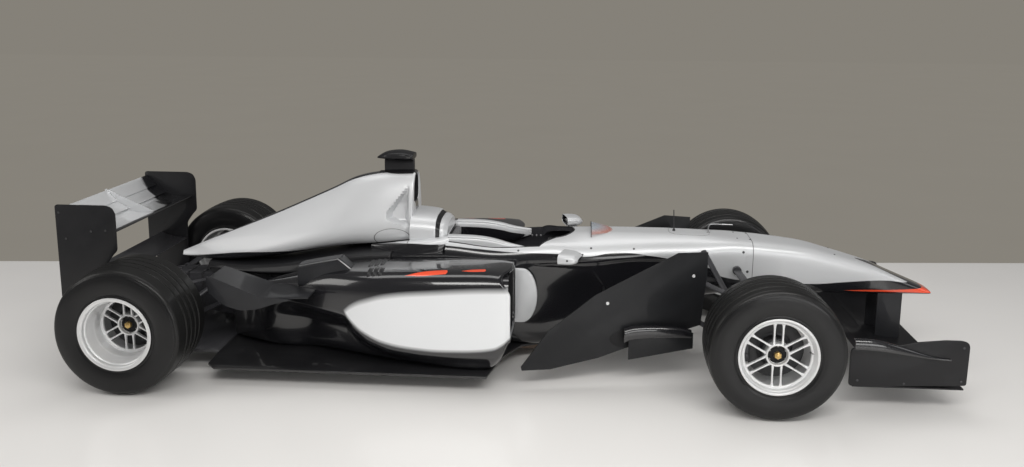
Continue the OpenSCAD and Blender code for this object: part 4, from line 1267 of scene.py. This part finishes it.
def caliper(axle, out, angle):
    """A block over the disc's edge, out mm from the car's middle, with four pistons' bosses."""
    block = bmesh.new()
    bmesh.ops.create_cube(block, size=1)
    bmesh.ops.scale(block, verts=block.verts, vec=(0.13, 0.062, 0.032))
    parts = [soften(block, 0.008, 4)]
    for x in (-0.035, 0.035):
        for y in (-0.033, 0.033):
            parts.append(rod((x, y * 0.6, 0), (x, y * 1.18, 0), 0.014))
    for part in parts:
        bmesh.ops.translate(part, verts=part.verts, vec=(0, out * MM, 0.134))
        moved(part, Matrix.Translation((axle, 0, axle_z)) @ Matrix.Rotation(math.radians(angle), 4, "Y"))
    return parts


# Calipers: the front ones turn with their uprights, and the rear ones are fixed.
for side, lateral in SIDES:
    for end, axle, out, angle, rides in (
        ("front", front_axle, 768, -90, f"front_{lateral}_knuckle"),
        ("rear", rear_axle, 656, 90, "chassis"),
    ):
        shapes = caliper(axle, out, angle)
        piece(f"{end}_caliper_{lateral}", shapes if side > 0 else [mirrored(s) for s in shapes], dark_metal,
              rides=rides, slot="upright_metal")

# ---- Wings ----


def rounded(outline, radius):
    """An outline in mm with round corners, turned into metres."""
    made = []
    steps = 6
    for i, point in enumerate(outline):
        p, a, b = Vector(point), Vector(outline[i - 1]), Vector(outline[(i + 1) % len(outline)])
        start = p + (a - p).normalized() * min(radius, (a - p).length * 0.45)
        end = p + (b - p).normalized() * min(radius, (b - p).length * 0.45)
        for k in range(steps + 1):
            t = k / steps
            made.append((start * (1 - t) ** 2 + p * (2 * t * (1 - t)) + end * t**2) * MM)
    return [(p.x, p.y) for p in made]


def profile(points, radius):
    """An outline in stations and heights, with round corners."""
    return [(front_axle + x, z) for x, z in rounded(points, radius)]


def wing_silver():
    """Silver flaps with a ragged black fade towards the left end, and a black front edge."""
    f = Finish("wing_silver", Coat_Weight=1.0, Coat_Roughness=0.05)
    ragged = f.noise(7, 4.0, (0.35, 1.6, 0.35)) * 0.16
    reach = 0.36 - (f.x - ahead(-3712)) * 0.87
    dark = (f.y - reach - ragged).above(0, 0.03)
    edge = f.line([(-3600, 600), (-3500, 700), (-3420, 732), (-3385, 752), (-3360, 780)])
    dark = either(dark, (edge - f.z).above(0, 0.002))
    flake = f.noise(2600, 1.0)
    silver = f.mix(flake, times(SILVER, 0.93), times(SILVER, 1.05))
    rough = flake * 0.06 + 0.28 - dark * 0.08
    return f.dress(f.mix(dark, silver, BLACK), rough, f.noise(60), 0.00004, Metallic=0.3 * (1 - dark))


def side_screws(y, places):
    """Screws on the outer face of an upright plate."""
    return [screw((ahead(s), y, z * MM), (0, 1, 0), 0.006) for s, z in places]


ENDPLATE = [
    (931, 140), (933, 335), (925, 356), (895, 365), (820, 365), (690, 351), (600, 330), (400, 318),
    (380, 300), (380, 122), (420, 116),
]
front_plate = plate(profile(ENDPLATE, 14), 0.01, 0.0022, 0.695)


def vane_point(across, along):
    """A curved vane along the outside of the front endplate that rolls over at its rear."""
    s = 848 - 462 * along
    z = 268 + 62 * ease(along, 0.0, 0.9) + 6 * along
    a = math.radians(-40 + 150 * across)
    r = 7 + 33 * ease(along, 0.05, 0.85)
    y = 704 + r * (0.75 + 0.55 * math.sin(a))
    return Vector((ahead(s), y * MM, (z + r * math.cos(a) * 0.9) * MM))


vane = grid(vane_point, 24, 40)
bmesh.ops.solidify(vane, geom=vane.faces, thickness=0.003)
outward(vane)
foot = box((ahead(400), 0.645, 0.112), (ahead(925), 0.695, 0.12), 0.002)
plate_screws = [painted(k, 2) for k in side_screws(0.705, ((905, 160), (905, 330), (420, 150), (640, 140)))]
redress("front_wing_endplates", *both(front_plate, foot, painted(vane, 1), *plate_screws),
        finishes=[satin_black, gloss_black, dark_metal], base=False)
redress("front_wing", finishes=[satin_black], width=0.001)
redress("front_wing_pylons", finishes=[board_grey], width=0.002, segments=3)

REAR_PLATE = [
    (-3690, 883), (-3415, 883), (-3380, 871), (-3363, 838), (-3365, 640), (-3390, 615), (-3430, 560),
    (-3435, 262), (-3530, 262), (-3620, 300), (-3690, 372),
]
rear_plate = plate(profile(REAR_PLATE, 16), 0.01, 0.0018, 0.495)
rear_screws = side_screws(0.505, (
    (-3420, 748), (-3500, 742), (-3640, 700), (-3670, 840), (-3460, 452), (-3560, 420), (-3500, 300),
))
redress("rear_wing_endplates", *both(rear_plate, *(painted(k, 1) for k in rear_screws)),
        finishes=[satin_black, dark_metal, duct_black], base=False)
FIN = [(-3400, 742), (-3680, 869), (-3688, 860), (-3600, 742), (-3480, 730)]
fin = plate(profile(FIN, 3), 0.006, 0.0015, -0.003)
redress("rear_wing", fin, finishes=[wing_silver()], width=0.0006)
redress("rear_wing_lower", finishes=[twill])

# ---- Boards and vanes ----


def board_y(s):
    """Middle of the slanted barge board at a station, in mm across the car."""
    return 400 - (s + 275) * math.tan(math.radians(12))


def vane_rows(rows):
    """Stations that follow the barge board's outer face."""
    return [(s, half, half, low, high, 2.4, board_y(s) + off) for s, half, low, high, off in rows]


board_screws = []
for s, z in ((-345, 565), (-784, 436)):
    spot = (ahead(s), (board_y(s) + 4.0 + 0.4) * MM, z * MM)
    board_screws.append(painted(screw(spot, (0.208, 0.978, 0), 0.0085, 0.003, 0.3), 1))
redress("barge_boards", *both(*board_screws), finishes=[board_black, magnesium], width=0.0015)

VANE_ROLL = vane_rows([
    (-348, 20, 238, 282, 26), (-430, 24, 244, 304, 26), (-540, 26, 246, 316, 26), (-640, 26, 244, 316, 26),
    (-694, 26, 232, 306, 26),
])
VANE_HOLE = vane_rows([(-695, 21, 238, 300, 25), (-640, 20, 256, 308, 25), (-520, 17, 262, 304, 25)])
# A thin black sheet on the board just behind each vane's rear end: painted shade for the dark, shadowed mouth of
# the rolled vane.
VANE_SHADE = vane_rows([
    (-694, 2.4, 196, 292, 5), (-720, 2.2, 200, 286, 5), (-748, 2, 212, 272, 5), (-768, 1.6, 232, 254, 5),
])
vane_shade_sheet = painted(loft(VANE_SHADE, 64, 6), 1)
vane_roll = lipped(VANE_ROLL, VANE_HOLE, -0.003, 120, 14)
for face in vane_roll.faces:
    face.material_index = 2 - face.material_index
redress("turning_vanes", *both(vane_roll, vane_shade_sheet), finishes=[board_black, duct_black, gloss_black],
        width=0.0015)

FLICK = [
    (-2380, 452), (-2470, 428), (-2560, 396), (-2650, 386), (-2740, 412), (-2815, 478), (-2826, 560),
    (-2790, 556), (-2560, 466),
]
flick_plate = plate(profile(FLICK, 30), 0.009, 0.002, 0.6515)
redress("flick_ups", *both(flick_plate), finishes=[board_grey], width=0.001)

# ---- Floor, diffuser, gearbox and rear lamp ----

redress("floor", finishes=[plank], width=0.0015)
redress("diffuser", finishes=[twill])
redress("engine_block", finishes=[dark_metal], width=0.004)

ribs = []
for s in (-2680, -2780, -2880, -2990, -3090, -3180, -3260):
    half = 120 - 50 * (-s - 2600) / 700
    top, low = 420 - 20 * (-s - 2600) / 700, 150 + 50 * (-s - 2600) / 700
    y, z = (half + 4) * MM, (top + 1) * MM
    ribs.append(box((ahead(s - 5), -y, (low - 3) * MM), (ahead(s + 5), y, (top + 4) * MM), 0.0015))
    for share in (-0.6, 0, 0.6):
        y = share * half * MM
        ribs.append(rod((ahead(s - 9), y, z), (ahead(s + 9), y, z), 0.006, 12))
lamp_case = box((ahead(-3612), -0.042, 0.29), (ahead(-3600), 0.042, 0.345), 0.003)
lamp_glass = box((ahead(-3616), -0.036, 0.296), (ahead(-3610), 0.036, 0.339), 0.002)
piece("rear_lamp", [lamp_case, painted(lamp_glass, 1)], black_plastic, lens, slot="carbon")
redress("gearbox", *(painted(rib, 1) for rib in ribs), finishes=[matt_twill, dark_metal], width=0.003)

# ---- Suspension, uprights and shafts ----

BOOT = [
    (19, 134), (40, 136), (44, 142), (36, 148), (40, 154), (32, 160), (36, 166), (27, 172), (30, 178),
    (22, 186), (19, 190),
]
for side, lateral in SIDES:
    for end in ("front", "rear"):
        redress(f"{end}_suspension_{lateral}", finishes=[matt_twill], width=0.0025, segments=3)
        redress(f"{end}_upright_{lateral}", finishes=[machined], width=0.0015)
    boot = lathe(BOOT, rear_axle, 72)
    boot = painted(boot if side > 0 else mirrored(boot), 1)
    redress(f"driveshaft_{lateral}", boot, finishes=[steel, black_plastic], width=0.001)

# ---- Cockpit ----

wheel_joint = joints["steering_wheel_turn"]
wheel_at = Matrix.Translation(wheel_joint["pos_m"]) @ Matrix.Rotation(math.radians(104), 4, "Y")


def on_wheel(*shapes):
    """Moves shapes from the wheel's own axes (down, left, forwards) into the car's."""
    return [moved(shape, wheel_at) for shape in shapes]


FACE = [
    (-52, -96), (-60, -60), (-60, 60), (-52, 96), (-20, 112), (22, 112), (50, 92), (58, 60), (46, 34),
    (34, 0), (46, -34), (58, -60), (50, -92), (22, -112), (-20, -112),
]
GRIP = [
    (-0.05, 0.092, 0), (-0.04, 0.112, -0.001), (-0.012, 0.121, -0.002), (0.018, 0.12, -0.001),
    (0.042, 0.108, 0), (0.052, 0.09, 0.001),
]
wheel_face = plate(rounded(FACE, 16), 0.016, 0.003, -0.008, True)
grips = [tube([(x, s * y, z) for x, y, z in GRIP], 0.0145, sides=24) for s in (1, -1)]
display = box((-0.046, -0.036, -0.014), (-0.016, 0.036, -0.007), 0.002)
display_glass = box((-0.043, -0.032, -0.0152), (-0.019, 0.032, -0.0135), 0.0008)
hub_boss = rod((0, 0, 0.004), (0, 0, 0.026), 0.034, 48)
PADDLE = [(-40, 40), (-34, 104), (6, 100), (-4, 40)]
paddles = [plate(rounded([(x, s * y) for x, y in PADDLE], 8), 0.003, 0.001, 0.014, True) for s in (1, -1)]
BUTTONS = [(-34, 62), (-34, -62), (-10, 74), (-10, -74), (12, 80), (12, -80), (30, 66), (30, -66)]
buttons = []
for k, (x, y) in enumerate(BUTTONS):
    centre = Vector((x * MM, y * MM, -0.008))
    collar_ring = rod(centre, centre + Vector((0, 0, -0.0035)), 0.0075, 24)
    cap_top = rod(centre, centre + Vector((0, 0, -0.0075)), 0.0055, 24)
    buttons += [painted(collar_ring, 1), painted(cap_top, (4, 5, 6, 1)[k // 2 % 4])]
for x, y in ((8, 0), (14, 34), (14, -34)):
    dial = rod((x * MM, y * MM, -0.008), (x * MM, y * MM, -0.02), 0.0095, 12, 0.008)
    low, high = (x * MM - 0.008, y * MM - 0.001, -0.0208), (x * MM - 0.001, y * MM + 0.001, -0.0195)
    buttons += [painted(dial, 1), painted(box(low, high, 0.0003), 7)]
for k in range(7):
    y = (k - 3) * 0.0095
    buttons.append(painted(rod((-0.053, y, -0.006), (-0.053, y, -0.0115), 0.0028, 12), 4 if k > 3 else 5))
piece("steering_wheel_skin", on_wheel(
    wheel_face, *(painted(grip, 2) for grip in grips), painted(display, 1), painted(display_glass, 3),
    painted(hub_boss, 1), *paddles, *buttons,
), twill, black_plastic, suede, gloss_black, red_plastic, yellow_plastic, blue_plastic, grey_plastic,
      node="steering_wheel")
redress("steering_column", finishes=[machined], width=0.0015)
redress("seat", finishes=[seat_cloth], width=0.004, segments=3)

# Dash: a hooded panel under the front of the opening, with switches.
dash = box((ahead(-985), -0.12, 0.575), (ahead(-972), 0.12, 0.652), 0.006)
dash_bits = []
for row in range(3):
    for k in range(9):
        spot = Vector((ahead(-985), (k - 4) * 0.024, 0.592 + row * 0.022))
        knob = rod(spot, spot - Vector((0.007 + 0.004 * (row == 1), 0, 0)), 0.0042, 16, 0.0036)
        dash_bits.append(painted(knob, 1 + (k + row) % 2))
side_bits = []
for k in range(5):
    spot = Vector((ahead(-1160 - k * 26), 0.2165, 0.6))
    lever = rod(spot - Vector((0, 0.005, 0)), spot + Vector((0, -0.016, 0.005)), 0.0018, 10)
    side_bits += [painted(rod(spot, spot - Vector((0, 0.006, 0)), 0.006, 16), 1), painted(lever, 2)]
piece("dash_panel", [dash, *dash_bits, *both(*side_bits)], matt_twill, grey_plastic, steel, slot="carbon")


def curve_point(points, along):
    """A place along a smooth line through points."""
    i, t = span(points, along)
    return between(*(Vector(p) for p in four(points, i)), t)


def strap(points, width, across=(0, 1, 0)):
    """Flat webbing through points, with thicker sewn edges."""

    def place(u, v):
        middle = curve_point(points, v)
        ahead_of = curve_point(points, min(1, v + 0.01)) - curve_point(points, max(0, v - 0.01))
        side_way = Vector(across).normalized()
        up = ahead_of.cross(side_way).normalized()
        hem = 0.0006 * (1 if abs(u - 0.5) > 0.4 else 0)
        return middle + side_way * (u - 0.5) * width + up * hem

    bm = outward(grid(place, 12, 10 * (len(points) - 1)))
    bmesh.ops.solidify(bm, geom=bm.faces, thickness=0.0024)
    return bm


buckle_at = Vector((ahead(-1352), 0, 0.275))
straps = []
for s in (1, -1):
    straps.append(strap([
        (ahead(-1640), s * 0.075, 0.632), (ahead(-1612), s * 0.075, 0.6), (ahead(-1560), s * 0.08, 0.5),
        (ahead(-1470), s * 0.078, 0.375), (ahead(-1400), s * 0.05, 0.315), (ahead(-1362), s * 0.02, 0.288),
    ], 0.05))
    straps.append(strap([
        (ahead(-1395), s * 0.15, 0.22), (ahead(-1385), s * 0.12, 0.262), (ahead(-1365), s * 0.07, 0.28),
        buckle_at + Vector((0, s * 0.02, 0)),
    ], 0.045, (0.85, 0, 0.5)))
straps.append(strap([(ahead(-1240), 0, 0.2), (ahead(-1290), 0, 0.232), (ahead(-1335), 0, 0.268)], 0.045))
buckle = rod(buckle_at - Vector((0.01, 0, 0.008)), buckle_at + Vector((0.012, 0, 0.012)), 0.03, 48)
turn = turned_about((ahead(-1505), 0, 0.459), "Y", -52)
adjusters = []
for y in (0.08, -0.08):
    adjuster = box((ahead(-1520), y - 0.029, 0.455), (ahead(-1490), y + 0.029, 0.463), 0.002)
    adjusters.append(painted(moved(adjuster, turn), 2))
piece("harness", [*straps, painted(buckle, 1), *adjusters], belt_web, red_plastic, steel, slot="padding")


def cushion(name, low, high, tilt, swell):
    """A covered foam pad: a block that cloth under pressure blows into shape."""
    obj = solid(name, box(low, high, 0.012, 4), finishes=[foam_cover])
    change = obj.modifiers.new("even", "REMESH")
    change.mode = "VOXEL"
    change.voxel_size = 0.006
    obj.data = result(obj)
    obj.modifiers.clear()
    rest = [v.co.copy() for v in obj.data.vertices]
    settings = obj.modifiers.new("cover", "CLOTH").settings
    settings.use_pressure = True
    settings.uniform_pressure_force = 4
    settings.effector_weights.gravity = 0
    settings.quality = 5
    for number in range(1, 21):
        bpy.context.scene.frame_set(number)
    blown = result(obj)
    obj.modifiers.clear()
    for vert, place_before in zip(blown.vertices, rest):
        step = vert.co - place_before
        if step.length > swell:
            vert.co = place_before + step * (swell / step.length)
    obj.data = blown
    bpy.context.scene.frame_set(1)
    bm = from_mesh(obj.data)
    bmesh.ops.smooth_vert(bm, verts=bm.verts, factor=0.5, use_axis_x=True, use_axis_y=True, use_axis_z=True)
    moved(bm, turned_about((Vector(low) + Vector(high)) / 2, "Y", tilt))
    bm.to_mesh(obj.data)
    obj.data.materials.clear()
    obj.data.materials.append(foam_cover)
    piece(name, obj, slot="padding")


cushion("head_pad", (ahead(-1648), -0.125, 0.61), (ahead(-1618), 0.125, 0.672), 0, 0.006)
cushion("seat_back_pad", (ahead(-1508), -0.12, 0.26), (ahead(-1484), 0.12, 0.50), -42, 0.009)
cushion("seat_base_pad", (ahead(-1355), -0.13, 0.175), (ahead(-1130), 0.13, 0.196), 9, 0.008)

# Rolled edge round the cockpit opening.
opening_line = [Vector((s, y, 0)) for s, y in cockpit_outline(1.5)]
rim_points = []
for k, spot in enumerate(opening_line):
    after = opening_line[(k + 1) % len(opening_line)]
    steps = max(1, int((after - spot).length / 14))
    for j in range(steps):
        point = spot.lerp(after, j / steps)
        if point.x > -1650:
            rim_points.append(point)
back_left = max(range(len(rim_points)), key=lambda k: (rim_points[k] - rim_points[k - 1]).length)
rim_points = rim_points[back_left:] + rim_points[:back_left]
edge_line = []
for point in rim_points:
    x, y = ahead(point.x), point.y * MM
    probe = Vector((x, y, 0)) + Vector((x - ahead(-1400), y, 0)).normalized() * 0.004
    hit = tub_tree.ray_cast(Vector((probe.x, probe.y, SKY)), Vector((0, 0, -1)))[0]
    if hit and hit.z > 0.6:
        edge_line.append((x, y, hit.z + 0.0005))
piece("cockpit_edge", [tube(edge_line, 0.0035, smooth=False)], black_plastic)

# ---- Fittings on the skin ----

SIDE_SCREWS = [
    (-53, 628, 0.007), (-53, 470, 0.007), (-27, 520, 0.007), (-1261, 626, 0.0055), (-1212, 569, 0.0055),
    (-870, 640, 0.0055), (-640, 640, 0.0055),
]
AERIAL_TIP = 0.818
PITOT = [(-223, 0.712), (-221, 0.731), (-211, 0.7405), (-196, 0.743), (-150, 0.7425), (-92, 0.742)]


def skin_at(s):
    """The nose's skin or the tub's, whichever is there at a station."""
    return tub_tree if s < -40 else nose_tree


side_screws_made = []
for s, z, radius in SIDE_SCREWS:
    side_screws_made.append(screw(*drop(skin_at(s), (ahead(s), 0.5, z * MM), (0, -1, 0)), radius))
top_screws = []
for s in (-75, -5, 450):
    for y in (-0.07, 0.07):
        top_screws.append(screw(*drop(skin_at(s), (ahead(s), y, SKY)), 0.005))
hatch_line = []
for k in range(0, 360, 10):
    c, q = math.cos(math.radians(k)), math.sin(math.radians(k))
    x = ahead(-330) + 0.11 * math.copysign(abs(c) ** 0.5, c)
    y = 0.075 * math.copysign(abs(q) ** 0.5, q)
    hatch_line.append(drop(tub_tree, (x, y, SKY), lift=-0.0004)[0])
hatch = tube(hatch_line, 0.001, smooth=False, loop=True)
foot = top_of(tub_tree, -411)
mast_end = (foot.x - 0.004, 0, AERIAL_TIP)
aerial = [rod(foot, foot + Vector((0, 0, 0.012)), 0.009, 24, 0.006),
          rod(foot + Vector((0, 0, 0.01)), mast_end, 0.0032, 16, 0.0026)]
foot = top_of(tub_tree, -222)
pitot = [tube([foot - Vector((0, 0, 0.004)), *((ahead(s), 0, z) for s, z in PITOT)], 0.0034, sides=16),
         rod(foot - Vector((0, 0, 0.001)), foot + Vector((0, 0, 0.004)), 0.009)]
piece("skin_fittings", [
    *both(*side_screws_made), *top_screws, *(painted(a, 1) for a in (hatch, *aerial)),
    *(painted(p, 2) for p in pitot),
], dark_metal, black_plastic, steel)

# Louvres on top of each sidepod.
LOUVRES = [
    (-1945, 330, 470), (-1975, 338, 478), (-2005, 346, 486), (-1925, 520, 612), (-1955, 517, 609),
    (-1985, 514, 606),
]


def louvre(s, inner, outer):
    """A gill that rises to its rear edge, over the sidepod's skin."""

    def place(u, v):
        spot = top_of(pod_tree, s - 20 * v, (inner + (outer - inner) * u) * MM)
        edge = math.sin(math.pi * u) ** 0.4
        return spot + Vector((0, 0, (0.001 + 0.0085 * v**1.3) * edge - 0.0005))

    gill = outward(grid(place, 24, 8))
    bmesh.ops.solidify(gill, geom=gill.faces, thickness=0.0012)
    return gill


piece("sidepod_louvres", both(*(louvre(*row) for row in LOUVRES)), satin_black, sharp=50)
